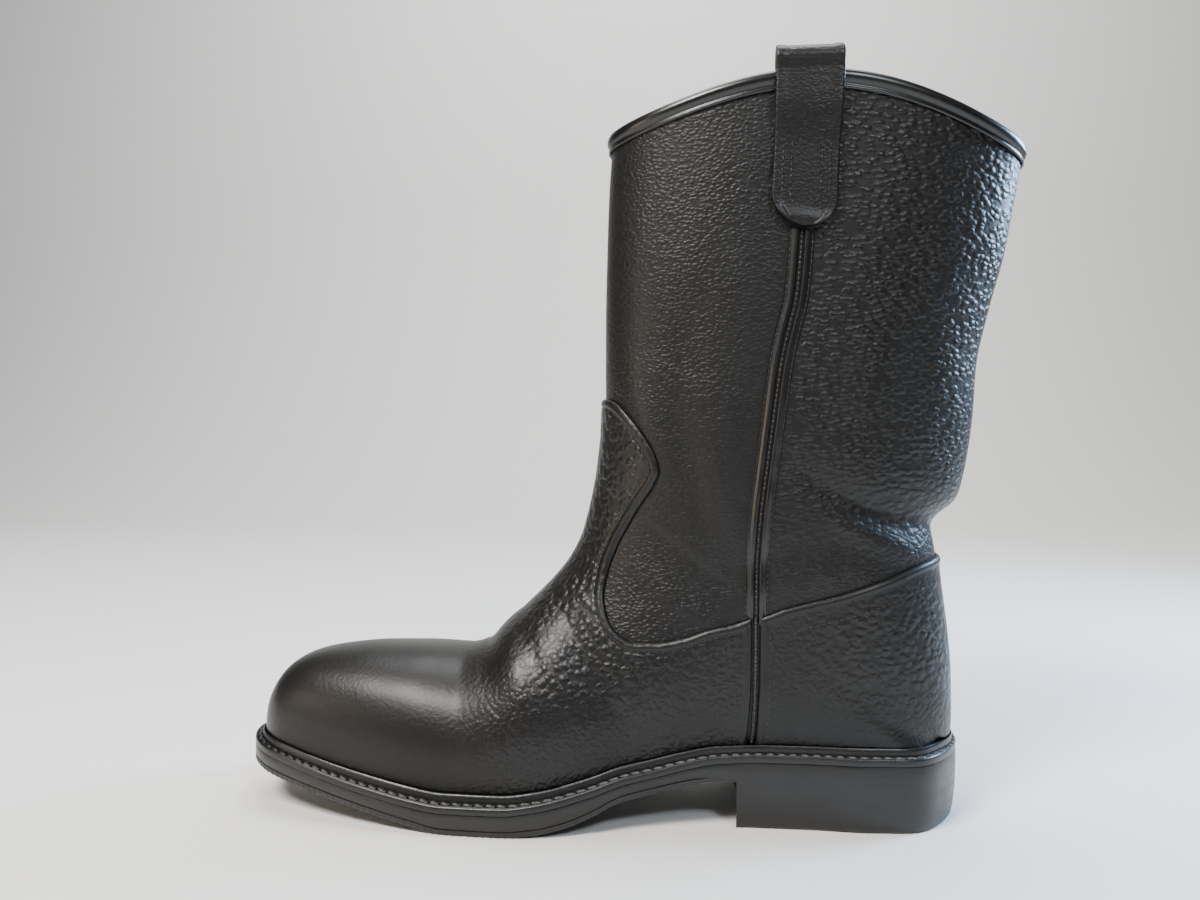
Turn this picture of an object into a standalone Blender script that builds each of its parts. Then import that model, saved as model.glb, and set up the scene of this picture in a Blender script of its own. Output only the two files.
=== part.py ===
"""Left pull-on roper boot in black pebbled leather, standing empty on its sole.

Frame: +Z up from the floor, the toe points to -X and the lateral side faces -Y.
The origin is on the floor under the middle of the boot's box. Lengths are in metres.
"""

import bmesh
import bpy
import numpy as np

# Sizes of the sole
SOLE_LENGTH = 0.3074
BALL_WIDTH = 0.104
TOE_RADIUS = 0.036
HEEL_RADIUS = 0.038
TOE_SPRING = 0.0174
HEEL_HEIGHT = 0.0192
SOLE_THICKNESS = 0.010
TREAD_LIP = 0.0018
EDGE_STEP = 0.0005
HEEL_LENGTH = 0.0964
HEEL_TAPER = 0.0026
BREAST_HOLLOW = 0.004
HEEL_EDGE = 0.0012

# Sizes of the welt and the insole
WELT_THICKNESS = 0.0025
WELT_MARGIN = 0.010
WELT_UNDERLAP = 0.003
WELT_EDGE_STEP = 0.0004
RIB_HEIGHT = 0.0035
RIB_WIDTH = 0.0026
INSOLE_THICKNESS = 0.003
INSOLE_CLEARANCE = 0.0017

# Sizes of the upper
WALL = 0.0026
OVERLAY = 0.0014
VAMP_RISE = 0.054
SHAFT_RISE = 0.262
SHAFT_WIDTH = 0.0736
SIDE_SCALLOP = 0.0190

# Sizes of the seams, the top binding and the pull straps
SEAM_WIDTH = 0.0100
SEAM_HEIGHT = 0.0012
SEAM_GROOVE = 0.0020
SEAM_CLEAR = 0.0075
SLOT_WIDTH = 0.0032
CORD_WIDTH = 0.0020
CORD_HEIGHT = 0.0012
BINDING_LEATHER = 0.0010
BINDING_DROP = 0.0045
BINDING_ROLL = 0.0020
STRAP_WIDTH = 0.0268
STRAP_THICKNESS = 0.0026
STRAP_OUTSIDE = 0.0610
STRAP_INSIDE = 0.0450
STRAP_RISE = 0.0080
STRAP_SPREAD = 0.0034
STRAP_END_RADIUS = 0.0130
STRAP_CLEAR = 0.0015

# Clearance between pieces that touch on the real boot
GAP = 0.0003

# Points of a cut overlay closer than this are one point
MERGE = 0.0001

# The sole's outline: share of the length from the toe, half widths as shares of the
# ball width, and the welt's margin as a share of WELT_MARGIN
OUTLINE_COLUMNS = ("along", "lateral", "medial", "margin")
OUTLINE_ROWS = np.array([
    (0.0300, 0.212, 0.222, 0.66),
    (0.0830, 0.303, 0.322, 0.74),
    (0.1662, 0.390, 0.418, 0.86),
    (0.2474, 0.450, 0.485, 0.94),
    (0.3317, 0.486, 0.510, 1.00),
    (0.4129, 0.495, 0.481, 1.00),
    (0.5042, 0.452, 0.413, 0.92),
    (0.5854, 0.399, 0.361, 0.85),
    (0.6666, 0.366, 0.346, 0.80),
    (0.7681, 0.370, 0.365, 0.76),
    (0.8696, 0.389, 0.389, 0.70),
    (0.9508, 0.317, 0.317, 0.60),
])
TOE_MARGIN = 0.62
HEEL_MARGIN = 0.55

# The sole's side view: heights as shares of the toe spring and of the heel, and the
# thickness of the sole with its welt as a share of SOLE_THICKNESS
PROFILE_COLUMNS = ("along", "spring", "lift", "thickness")
PROFILE_ROWS = np.array([
    (0.0000, 1.000, 0.00, 1.00),
    (0.0455, 0.840, 0.00, 1.00),
    (0.1043, 0.655, 0.00, 0.96),
    (0.1561, 0.480, 0.00, 0.94),
    (0.2079, 0.310, 0.00, 0.96),
    (0.2667, 0.110, 0.00, 1.02),
    (0.3033, 0.000, 0.00, 1.10),
    (0.3845, 0.000, 0.00, 1.12),
    (0.4200, 0.000, 0.05, 1.16),
    (0.4657, 0.000, 0.19, 1.17),
    (0.5012, 0.000, 0.40, 1.06),
    (0.5337, 0.000, 0.64, 0.92),
    (0.5763, 0.000, 0.78, 0.90),
    (0.6179, 0.000, 0.91, 0.93),
    (0.6615, 0.000, 1.00, 0.97),
    (0.7275, 0.000, 1.00, 1.05),
    (1.0000, 0.000, 1.00, 1.06),
])

# Sections of the foot, from the toe tip back. Each runs from a point on the ridge
# (front, at rise above the sole) down to the feather line at bottom. Places are
# shares of the feather line's length, rises shares of VAMP_RISE, swells the widest
# half width over the feather line's, and widest is how far down that lies
FOOT_COLUMNS = ("front", "rise", "bottom", "lateral_swell", "medial_swell", "widest",
                "front_round", "back_round")
FOOT_ROWS = np.array([
    (0.0000, 0.000, 0.0000, 1.03, 1.03, 0.70, 2.20, 2.2),
    (0.0007, 0.125, 0.0007, 1.03, 1.03, 0.70, 2.20, 2.2),
    (0.0037, 0.257, 0.0037, 1.03, 1.03, 0.70, 2.30, 2.3),
    (0.0143, 0.407, 0.0143, 1.03, 1.03, 0.72, 2.40, 2.3),
    (0.0360, 0.574, 0.0360, 1.03, 1.03, 0.74, 2.45, 2.3),
    (0.0660, 0.693, 0.0660, 1.03, 1.03, 0.76, 2.45, 2.3),
    (0.1110, 0.796, 0.1110, 1.03, 1.03, 0.78, 2.35, 2.3),
    (0.1718, 0.889, 0.1718, 1.03, 1.03, 0.78, 2.25, 2.3),
    (0.2361, 0.952, 0.2361, 1.03, 1.03, 0.78, 2.15, 2.3),
    (0.2969, 0.976, 0.2969, 1.03, 1.03, 0.77, 2.05, 2.3),
    (0.3307, 1.007, 0.3442, 1.04, 1.04, 0.76, 2.00, 2.3),
    (0.3578, 1.152, 0.3917, 1.05, 1.06, 0.74, 1.95, 2.3),
    (0.3950, 1.322, 0.4660, 1.07, 1.10, 0.72, 1.90, 2.3),
    (0.4322, 1.490, 0.5743, 1.10, 1.15, 0.70, 1.90, 2.3),
])

# Sections of the ankle and the shaft. Front and back are shares of the feather line's
# length, the ups shares of SHAFT_RISE above the heel seat, and half widths shares of
# half of SHAFT_WIDTH. A back up of 0 lies on the feather line
SHAFT_COLUMNS = ("front", "front_up", "back", "back_up", "lateral", "medial", "widest",
                 "front_round", "back_round")
SHAFT_ROWS = np.array([
    (0.4609, 0.2860, 0.6959, 0.0000, 0.990, 0.940, 0.66, 1.90, 2.4),
    (0.4779, 0.3240, 0.8110, 0.0000, 0.978, 0.951, 0.60, 1.95, 2.6),
    (0.4869, 0.3590, 0.9080, 0.0000, 0.973, 0.957, 0.56, 2.00, 2.8),
    (0.4930, 0.3870, 0.9680, 0.0000, 0.973, 0.962, 0.54, 2.05, 2.9),
    (0.4965, 0.4080, 0.9917, 0.0000, 0.973, 0.962, 0.53, 2.05, 2.9),
    (0.4998, 0.4290, 1.0000, 0.0000, 0.973, 0.962, 0.52, 2.10, 2.9),
    (0.5026, 0.4542, 1.0037, 0.0458, 0.973, 0.962, 0.52, 2.10, 2.9),
    (0.5059, 0.4885, 1.0037, 0.1069, 0.973, 0.962, 0.52, 2.10, 2.8),
    (0.5080, 0.5229, 1.0010, 0.1603, 0.970, 0.962, 0.52, 2.10, 2.7),
    (0.5090, 0.5611, 0.9943, 0.2290, 0.967, 0.960, 0.51, 2.10, 2.6),
    (0.5090, 0.5992, 0.9888, 0.2863, 0.962, 0.957, 0.50, 2.10, 2.5),
    (0.5090, 0.6298, 0.9868, 0.3378, 0.957, 0.953, 0.50, 2.10, 2.4),
    (0.5090, 0.6489, 0.9953, 0.3588, 0.953, 0.951, 0.50, 2.10, 2.3),
    (0.5090, 0.6718, 1.0223, 0.3893, 0.951, 0.951, 0.50, 2.10, 2.2),
    (0.5093, 0.7023, 1.0358, 0.4427, 0.951, 0.951, 0.50, 2.10, 2.2),
    (0.5100, 0.7405, 1.0460, 0.5229, 0.951, 0.951, 0.50, 2.10, 2.2),
    (0.5110, 0.7824, 1.0511, 0.6031, 0.953, 0.953, 0.50, 2.10, 2.2),
    (0.5120, 0.8282, 1.0697, 0.6985, 0.957, 0.957, 0.50, 2.10, 2.2),
    (0.5133, 0.8779, 1.0900, 0.7824, 0.967, 0.967, 0.50, 2.10, 2.2),
    (0.5154, 0.9275, 1.1035, 0.8626, 0.978, 0.978, 0.50, 2.10, 2.2),
    (0.5174, 0.9656, 1.1119, 0.9160, 0.989, 0.989, 0.50, 2.10, 2.2),
    (0.5174, 0.9905, 1.1164, 0.9523, 1.000, 1.000, 0.50, 2.10, 2.2),
])
FOOT_COUNT = len(FOOT_ROWS)
ROW_COUNT = FOOT_COUNT + len(SHAFT_ROWS)
HEEL_ROW = FOOT_COUNT + 5
SCALLOP_ROW = FOOT_COUNT + 14

# Lines in the side view: places as shares of the feather line's length and ups as
# shares of SHAFT_RISE above the heel seat
LINE_COLUMNS = ("along", "up")
SIDE_SEAM = np.array([
    (0.7129, 0.000), (0.7177, 0.084), (0.7197, 0.214), (0.7210, 0.292), (0.7265, 0.370),
    (0.7355, 0.449), (0.7445, 0.527), (0.7545, 0.607), (0.7645, 0.657), (0.7745, 0.704),
    (0.7820, 0.802), (0.7915, 1.050),
])
VAMP_EDGE = np.array([
    (0.4323, 0.5560), (0.5083, 0.5538), (0.5255, 0.5470), (0.5482, 0.5220),
    (0.5698, 0.4890), (0.5844, 0.4565), (0.5888, 0.4363), (0.5810, 0.4126),
    (0.5627, 0.3810), (0.5451, 0.3470), (0.5303, 0.3150), (0.5164, 0.2733),
    (0.5107, 0.2344), (0.5168, 0.2023), (0.5309, 0.1805), (0.5532, 0.1680),
    (0.5844, 0.1687), (0.6193, 0.1760), (0.6541, 0.1900), (0.6879, 0.1992),
])
COUNTER_EDGE = np.array([
    (0.7568, 0.2244), (0.7920, 0.2351), (0.8268, 0.2447), (0.8641, 0.2573),
    (0.9013, 0.2710), (0.9442, 0.2878), (0.9984, 0.3004), (1.0731, 0.3060),
])
OVERLAY_CORNER_UP = 0.210

# How finely the solids are divided
SECTION_STEPS = 24
SOLID_ROWS = np.concatenate([
    np.arange(0, 11), np.arange(11, 19.5, 0.5), (12.25, 12.75), (20, 21, 23), np.arange(25, 29),
    (30, 32, 34, 35),
])
SOLID_ROWS = np.unique(SOLID_ROWS) / (ROW_COUNT - 1)


def smooth(places, values, at):
    """Read a curve through the given points that never overshoots them."""
    step = np.diff(places)
    rise = np.diff(values) / step
    slope = np.empty(len(places))
    slope[0] = rise[0]
    slope[-1] = rise[-1]
    same_way = rise[:-1] * rise[1:] > 0
    total = np.where(same_way, rise[:-1] + rise[1:], 1.0)
    slope[1:-1] = np.where(same_way, 2 * rise[:-1] * rise[1:] / total, 0.0)
    cell = np.clip(np.searchsorted(places, at, side="right") - 1, 0, len(step) - 1)
    part = (at - places[cell]) / step[cell]
    back = 1 - part
    return (values[cell] * back ** 2 * (1 + 2 * part)
            + values[cell + 1] * part ** 2 * (1 + 2 * back)
            + step[cell] * part * back * (slope[cell] * back - slope[cell + 1] * part))


def read(columns, rows, name):
    """One named column of a table."""
    return rows[:, columns.index(name)]


def profile(name, along):
    """One column of the side-view table at the given shares of the length."""
    places = read(PROFILE_COLUMNS, PROFILE_ROWS, "along")
    return smooth(places, read(PROFILE_COLUMNS, PROFILE_ROWS, name), np.clip(along, 0, 1))


def sole_bottom(x):
    """Height of the outsole's underside at a distance from the toe tip."""
    along = x / SOLE_LENGTH
    return TOE_SPRING * profile("spring", along) + HEEL_HEIGHT * profile("lift", along)


def sole_top(x):
    """Height of the welt's top face, on which the upper stands."""
    return sole_bottom(x) + SOLE_THICKNESS * profile("thickness", x / SOLE_LENGTH)


def half_width(turn, side):
    """Half width of the outline; turn runs from 0 at the toe to pi at the heel."""
    along = (1 - np.cos(turn)) / 2
    rows_along = read(OUTLINE_COLUMNS, OUTLINE_ROWS, "along")
    rows_half = BALL_WIDTH * read(OUTLINE_COLUMNS, OUTLINE_ROWS, side)
    fullness = rows_half / (2 * np.sqrt(rows_along * (1 - rows_along)))
    toe = np.sqrt(TOE_RADIUS * SOLE_LENGTH / 2)
    heel = np.sqrt(HEEL_RADIUS * SOLE_LENGTH / 2)
    places = np.concatenate([[0.0], rows_along, [1.0]])
    values = np.concatenate([[toe], fullness, [heel]])
    return np.sin(turn) * smooth(places, values, along)


def margin(turn):
    """Distance from the sole's edge in to the upper's outer face."""
    places = np.concatenate([[0.0], read(OUTLINE_COLUMNS, OUTLINE_ROWS, "along"), [1.0]])
    shares = read(OUTLINE_COLUMNS, OUTLINE_ROWS, "margin")
    values = np.concatenate([[TOE_MARGIN], shares, [HEEL_MARGIN]])
    return WELT_MARGIN * smooth(places, values, (1 - np.cos(turn)) / 2)


def edge(turn, side, inset):
    """Plan points of the outline on one side, moved inward by inset."""
    sign = -1.0 if side == "lateral" else 1.0
    small = 1e-4
    x = SOLE_LENGTH * (1 - np.cos(turn)) / 2
    y = half_width(turn, side)
    run = SOLE_LENGTH * np.sin(turn) / 2
    spread = (half_width(turn + small, side) - half_width(turn - small, side)) / (2 * small)
    length = np.hypot(run, spread)
    return x + inset * spread / length, sign * (y - inset * run / length)


# The feather line, where the upper meets the welt, read finely for look-ups
FINE_TURNS = np.linspace(0, np.pi, 1441)
FEATHER = {side: edge(FINE_TURNS, side, margin(FINE_TURNS)) for side in ("lateral", "medial")}
FEATHER_START = FEATHER["lateral"][0][0]
FEATHER_LENGTH = FEATHER["lateral"][0][-1] - FEATHER_START
HEEL_SEAT = float(sole_top(np.array(SOLE_LENGTH)))


def feather_x(share):
    """Distance from the sole's toe tip of a share of the feather line's length."""
    return FEATHER_START + share * FEATHER_LENGTH


def turn_at(x, side):
    """Turn at which the feather line reaches x."""
    return np.interp(x, FEATHER[side][0], FINE_TURNS)


def upper_row(row, foot_name, shaft_name):
    """A table column read smoothly across all the sections; row runs from 0 to 1."""
    values = np.concatenate([
        read(FOOT_COLUMNS, FOOT_ROWS, foot_name),
        read(SHAFT_COLUMNS, SHAFT_ROWS, shaft_name),
    ])
    return smooth(np.linspace(0, 1, ROW_COUNT), values, row)


def ridge_heights():
    """Heights of the sections' front points, before smoothing."""
    foot_x = feather_x(read(FOOT_COLUMNS, FOOT_ROWS, "front"))
    foot = sole_top(foot_x) + GAP + VAMP_RISE * read(FOOT_COLUMNS, FOOT_ROWS, "rise")
    shaft = HEEL_SEAT + SHAFT_RISE * read(SHAFT_COLUMNS, SHAFT_ROWS, "front_up")
    return np.concatenate([foot, shaft])


def back_heights(row, back_x):
    """Heights of the sections' back points: on the sole, or up the back of the shaft."""
    ups = np.concatenate([np.zeros(FOOT_COUNT), read(SHAFT_COLUMNS, SHAFT_ROWS, "back_up")])
    up = smooth(np.linspace(0, 1, ROW_COUNT), ups, row)
    heel_row = HEEL_ROW / (ROW_COUNT - 1)
    return np.where(row <= heel_row, sole_top(back_x) + GAP, HEEL_SEAT + GAP + SHAFT_RISE * up)


def upper_point(row, around):
    """Points of the upper's outer face.

    Each section is a bent oval between its front and back points: a superellipse
    quarter from the ridge to the widest place and another one from there down, cut
    off where it reaches the feather line's half width.
    """
    row = np.clip(row, 0, 1)
    marks = np.linspace(0, 1, ROW_COUNT)
    front_x = feather_x(upper_row(row, "front", "front"))
    front_z = smooth(marks, ridge_heights(), row)
    back_x = feather_x(upper_row(row, "bottom", "back"))
    back_z = back_heights(row, back_x)
    widest = upper_row(row, "widest", "widest")
    front_power = upper_row(row, "front_round", "front_round")
    back_power = upper_row(row, "back_round", "back_round")
    foot_end = (FOOT_COUNT - 1) / (ROW_COUNT - 1)
    open_below = row < HEEL_ROW / (ROW_COUNT - 1) - 1e-9
    half = np.zeros(np.broadcast(row, around).shape)
    ending = np.zeros_like(half)
    for side, on_side in (("lateral", around < 0), ("medial", around >= 0)):
        turn = turn_at(back_x, side)
        feather = np.abs(edge(turn, side, margin(turn))[1]) * open_below
        swell = smooth(marks[:FOOT_COUNT], read(FOOT_COLUMNS, FOOT_ROWS, side + "_swell"),
                       np.minimum(row, foot_end))
        last = feather_x(FOOT_ROWS[-1][FOOT_COLUMNS.index("bottom")])
        last_turn = turn_at(last, side)
        last_half = (FOOT_ROWS[-1][FOOT_COLUMNS.index(side + "_swell")]
                     * np.abs(edge(last_turn, side, margin(last_turn))[1]))
        shaft_half = SHAFT_WIDTH / 2 * read(SHAFT_COLUMNS, SHAFT_ROWS, side)
        shaft = smooth(marks[FOOT_COUNT - 1:], np.concatenate([[last_half], shaft_half]),
                       np.maximum(row, foot_end))
        wide = np.where(row <= foot_end, feather * swell, np.maximum(shaft, feather * 1.01))
        half = np.where(on_side, wide, half)
        ending = np.where(on_side, feather, ending)
    share = np.clip(ending / np.maximum(half, 1e-9), 0, 0.985)
    last_angle = np.pi - np.arcsin(share ** (back_power / 2))
    angle = np.abs(around) * last_angle
    rising = angle < np.pi / 2
    power = np.where(rising, front_power, back_power)
    across = np.clip(np.sin(angle), 0, 1) ** (2 / power)
    level = np.abs(np.cos(angle)) ** (2 / power)
    reach = (1 - widest) / (1 - share ** back_power) ** (1 / back_power)
    down = np.where(rising, widest * (1 - level), widest + reach * level)
    x = front_x + (back_x - front_x) * down
    z = front_z + (back_z - front_z) * down + scallop(row, down)
    y = np.sign(around) * half * across
    return np.stack(np.broadcast_arrays(x, y, z), axis=-1)


def scallop(row, down):
    """Rise of the topline at the sides, fading out down the shaft."""
    start = SCALLOP_ROW / (ROW_COUNT - 1)
    fade = np.clip((row - start) / (1 - start), 0, 1) ** 1.5
    wave = np.sin(np.pi * np.clip(down, 0, 1)) ** 1.3
    return SIDE_SCALLOP * fade * wave


def upper_normal(row, around):
    """Outward direction of the upper's outer face."""
    small = 1e-4
    row_low = np.clip(row - small, 1e-6, 1)
    row_high = np.clip(row + small, 1e-6, 1)
    around_low = np.clip(around - small, -1, 1)
    around_high = np.clip(around + small, -1, 1)
    up = upper_point(row_high, around) - upper_point(row_low, around)
    across = upper_point(row, around_high) - upper_point(row, around_low)
    normal = np.cross(up, across)
    normal = normal / np.maximum(np.linalg.norm(normal, axis=-1, keepdims=True), 1e-12)
    ends = (np.abs(around) > 1 - 1e-9) & (row >= HEEL_ROW / (ROW_COUNT - 1) - 1e-9)
    normal[..., 1] = np.where(ends, 0, normal[..., 1])
    at_feather = (np.abs(around) > 1 - 1e-9) & (row <= HEEL_ROW / (ROW_COUNT - 1) + 1e-9)
    normal[..., 2] = np.where(at_feather, 0, normal[..., 2])
    tip = np.broadcast_to(row, ends.shape) < 1e-9
    normal = np.where(tip[..., None], np.array([-1.0, 0.0, 0.0]), normal)
    return normal / np.linalg.norm(normal, axis=-1, keepdims=True)


def upper_offset(row, around, distance):
    """Points that stand off the upper's outer face by a distance.

    Those over the feather line are set down on the sole's top.
    """
    distance = np.asarray(distance)[..., None]
    points = upper_point(row, around) + distance * upper_normal(row, around)
    at_feather = (np.abs(around) > 1 - 1e-9) & (row <= HEEL_ROW / (ROW_COUNT - 1) + 1e-9)
    points[..., 2] = np.where(at_feather, sole_top(points[..., 0]) + GAP, points[..., 2])
    return points


def side_line(x, table):
    """Turn a table of shares into side-view places."""
    along = feather_x(read(LINE_COLUMNS, table, "along"))
    up = HEEL_SEAT + SHAFT_RISE * read(LINE_COLUMNS, table, "up")
    return along + x, up


def seam_around(rows, side):
    """Place around each section at which the side seam crosses it."""
    sign = -1.0 if side == "lateral" else 1.0
    seam_x, seam_z = side_line(0, SIDE_SEAM)
    tries = np.linspace(0.05, 0.995, 400)
    found = []
    for row in rows:
        points = upper_point(np.full(len(tries), row), sign * tries)
        miss = points[:, 0] - np.interp(points[:, 2], seam_z, seam_x)
        after = int(np.argmax(miss > 0))
        part = -miss[after - 1] / (miss[after] - miss[after - 1])
        found.append(tries[after - 1] + part * (tries[after] - tries[after - 1]))
    return sign * np.array(found)


def seam_row_at(height, side):
    """Section at which the side seam reaches a height."""
    rows = np.linspace((FOOT_COUNT + 0.3) / (ROW_COUNT - 1), 1, 120)
    heights = upper_point(rows, seam_around(rows, side))[:, 2]
    return np.interp(height, heights, rows)


def mesh_object(name, points, faces, collection):
    """Make one closed mesh object from points and faces."""
    mesh = bpy.data.meshes.new(name)
    work = bmesh.new()
    corners = [work.verts.new(point) for point in points]
    for face in faces:
        work.faces.new([corners[index] for index in face])
    bmesh.ops.remove_doubles(work, verts=work.verts, dist=1e-6)
    bmesh.ops.dissolve_degenerate(work, dist=1e-7, edges=work.edges)
    bmesh.ops.recalc_face_normals(work, faces=work.faces)
    work.to_mesh(mesh)
    work.free()
    made = bpy.data.objects.new(name, mesh)
    collection.objects.link(made)
    return made


def loops_to_faces(loop_count, size, closed_path):
    """Quads between neighbouring closed loops, and back to the first if asked."""
    faces = []
    for step in range(loop_count if closed_path else loop_count - 1):
        here = step * size
        there = (step + 1) % loop_count * size
        for place in range(size):
            after = (place + 1) % size
            faces.append((here + place, here + after, there + after, there + place))
    return faces


def ladder(start, size):
    """Close a loop whose two halves mirror each other with rungs across it."""
    faces = []
    for step in range(size // 2):
        left = start + step
        right = start + (size - step) % size
        left_next = start + step + 1
        right_next = start + (size - step - 1) % size
        faces.append(tuple(dict.fromkeys((left, left_next, right_next, right))))
    return [face for face in faces if len(face) > 2]


def skin(name, loops, collection, caps="ladder", closed_path=False):
    """Join loops of points into one closed body."""
    size = len(loops[0])
    points = np.concatenate(loops)
    faces = loops_to_faces(len(loops), size, closed_path)
    if not closed_path:
        for start in (0, (len(loops) - 1) * size):
            if caps == "ladder":
                faces += ladder(start, size)
            else:
                faces.append(tuple(range(start, start + size)))
    return mesh_object(name, points, faces, collection)


def finish(made, colour, roughness):
    """Give an object its own material and smooth shading with kept corners."""
    material = bpy.data.materials.new(made.name + "_material")
    material.use_nodes = True
    shader = material.node_tree.nodes["Principled BSDF"]
    shader.inputs["Base Color"].default_value = (*colour, 1.0)
    shader.inputs["Roughness"].default_value = roughness
    shader.inputs["Metallic"].default_value = 0.0
    made.data.materials.clear()
    made.data.materials.append(material)
    made.data.shade_smooth()
    made.data.set_sharp_from_angle(angle=np.radians(35))
    return made


def sole_stations():
    """Turns of the feather line at the upper's own sections, on both sides."""
    rows = SOLID_ROWS[SOLID_ROWS <= HEEL_ROW / (ROW_COUNT - 1) + 1e-9]
    bottoms = feather_x(upper_row(rows, "bottom", "back"))
    bottoms[-1] = feather_x(1.0)
    return rows, {side: turn_at(bottoms, side) for side in ("lateral", "medial")}


def sole_loop(inset_from_feather, inset_from_edge, height):
    """A closed loop round the sole: toe, lateral side, heel, medial side.

    The inset is measured from the feather line if inset_from_edge is None.
    height takes the distance from the toe tip and gives the height there.
    """
    turns = sole_stations()[1]
    halves = {}
    for side in ("lateral", "medial"):
        turn = turns[side]
        if inset_from_edge is None:
            inset = margin(turn) + inset_from_feather
        else:
            inset = inset_from_edge(SOLE_LENGTH * (1 - np.cos(turn)) / 2)
        x, y = edge(turn, side, inset)
        halves[side] = np.stack([x, y, height(x)], axis=-1)
    loop = np.concatenate([halves["lateral"], halves["medial"][-2:0:-1]])
    loop[0, 1] = 0.0
    loop[len(halves["lateral"]) - 1, 1] = 0.0
    return loop


def lay(loop, lift):
    """Set a loop down on the sole's top, raised by lift."""
    laid = loop.copy()
    laid[:, 2] = sole_top(laid[:, 0]) + lift
    return laid


def tread_fade(x):
    """1 along the forefoot and the waist, 0 over the heel."""
    return np.clip((SOLE_LENGTH - HEEL_LENGTH - x) / 0.02, 0, 1)


def make_outsole(collection):
    """Rubber outsole: tread lip, fine line, side wall, ledge for the welt, raised core."""
    ledge = WELT_THICKNESS + GAP
    core = WALL + WELT_UNDERLAP + GAP

    def at_edge(inset, height):
        return sole_loop(0, lambda x: inset * tread_fade(x), height)

    loops = [
        at_edge(2 * EDGE_STEP, sole_bottom),
        at_edge(0, lambda x: sole_bottom(x) + TREAD_LIP / 2 * tread_fade(x) + 1e-4),
        at_edge(0, lambda x: sole_bottom(x) + TREAD_LIP * tread_fade(x) + 2e-4),
        at_edge(EDGE_STEP, lambda x: sole_bottom(x) + TREAD_LIP + EDGE_STEP / 2),
        at_edge(0, lambda x: sole_bottom(x) + TREAD_LIP + 2 * EDGE_STEP),
        at_edge(0, lambda x: sole_top(x) - ledge),
        sole_loop(core, None, lambda x: sole_top(x) - ledge),
        sole_loop(core + EDGE_STEP, None, sole_top),
    ]
    made = skin("outsole", loops, collection)
    return finish(made, (0.035, 0.033, 0.032), 0.45)


def make_heel(collection):
    """Rubber heel block: the sole's own outline, drawn in toward the floor, hollow breast."""
    breast = SOLE_LENGTH - HEEL_LENGTH
    top = HEEL_HEIGHT - GAP
    start = np.arccos(1 - 2 * breast / SOLE_LENGTH)
    turn = np.linspace(start, np.pi, 13)
    loops = []
    for height, inset in ((top, 0.0), (0.55 * top, 0.12), (HEEL_EDGE * 1.6, 0.55), (0, 1.0)):
        side_x, side_y = edge(turn, "lateral", inset * HEEL_TAPER)
        other_x, other_y = edge(turn, "medial", inset * HEEL_TAPER)
        across = np.linspace(-1, 1, 7)[1:-1]
        breast_y = np.interp(across, (-1, 1), (other_y[0], side_y[0]))
        breast_x = (side_x[0] + other_x[0]) / 2 + BREAST_HOLLOW * (1 - across ** 2)
        x = np.concatenate([side_x, other_x[-2::-1], breast_x])
        y = np.concatenate([side_y, other_y[-2::-1], breast_y])
        loops.append(np.stack([x, y, np.full(len(x), height)], axis=-1))
    made = skin("heel_block", loops, collection, caps="flat")
    return finish(made, (0.035, 0.033, 0.032), 0.45)


def overlay_reach(height):
    """How far the overlays' outer face stands out past the feather line, up to a height.

    Points of that face near each station are measured along the plan direction that
    leads out across the welt.
    """
    rows = np.linspace(1e-4, (HEEL_ROW + 3) / (ROW_COUNT - 1), 420)[:, None]
    tries = np.linspace(0.55, 1, 90)[None, :]
    turns = sole_stations()[1]
    reach = {}
    for side, sign in (("lateral", -1.0), ("medial", 1.0)):
        turn = turns[side]
        cloud = upper_offset(rows, sign * tries, np.full((1, 1), GAP + OVERLAY)).reshape(-1, 3)
        cloud = cloud[cloud[:, 2] - sole_top(cloud[:, 0]) < height + GAP]
        here = np.stack(edge(turn, side, margin(turn)), axis=-1)
        farther = np.stack(edge(turn, side, margin(turn) - 0.001), axis=-1)
        values = []
        for foot, way in zip(here, (farther - here) / 0.001):
            apart = cloud[:, :2] - foot
            beside = np.abs(apart @ np.array([-way[1], way[0]]))
            values.append(np.max((apart @ way)[beside < 0.004]))
        reach[side] = np.array(values)
    return np.concatenate([reach["lateral"], reach["medial"][-2:0:-1]])


def make_welt(collection):
    """Leather welt: a ring under the upper's edge, with a raised rib against its foot."""
    feather = sole_loop(0, None, sole_top)
    outer = sole_loop(0, lambda x: 0 * x + WELT_EDGE_STEP, sole_top)
    inner = sole_loop(WALL + WELT_UNDERLAP, None, sole_top)
    out = (outer - feather) * (1, 1, 0)
    out = out / np.linalg.norm(out, axis=1, keepdims=True)
    reach = overlay_reach(RIB_HEIGHT)[:, None] + 1.5 * GAP
    foot = feather + out * reach
    crown = feather + out * (reach + 0.8 * RIB_WIDTH)
    base = feather + out * (reach + RIB_WIDTH)
    loops = [
        lay(inner, -WELT_THICKNESS),
        lay(inner, 0),
        lay(foot, 0),
        lay(foot, RIB_HEIGHT),
        lay(crown, RIB_HEIGHT),
        lay(base, 0.2 * RIB_HEIGHT),
        lay(outer, 0),
        lay(outer, -WELT_THICKNESS),
    ]
    made = skin("welt", loops, collection, closed_path=True)
    return finish(made, (0.030, 0.029, 0.028), 0.5)


def make_insole(collection):
    """Insole board inside the upper's foot."""
    inset = WALL + INSOLE_CLEARANCE
    loops = [
        sole_loop(inset, None, lambda x: sole_top(x) + GAP),
        sole_loop(inset, None, lambda x: sole_top(x) + GAP + INSOLE_THICKNESS),
    ]
    made = skin("insole", loops, collection)
    return finish(made, (0.42, 0.27, 0.15), 0.7)


def grid_points(rows, distance):
    """The upper's grid of points at a distance off its outer face."""
    around = np.linspace(-1, 1, SECTION_STEPS + 1)
    return upper_offset(rows[:, None], around[None, :], np.full((1, 1), distance))


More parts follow.
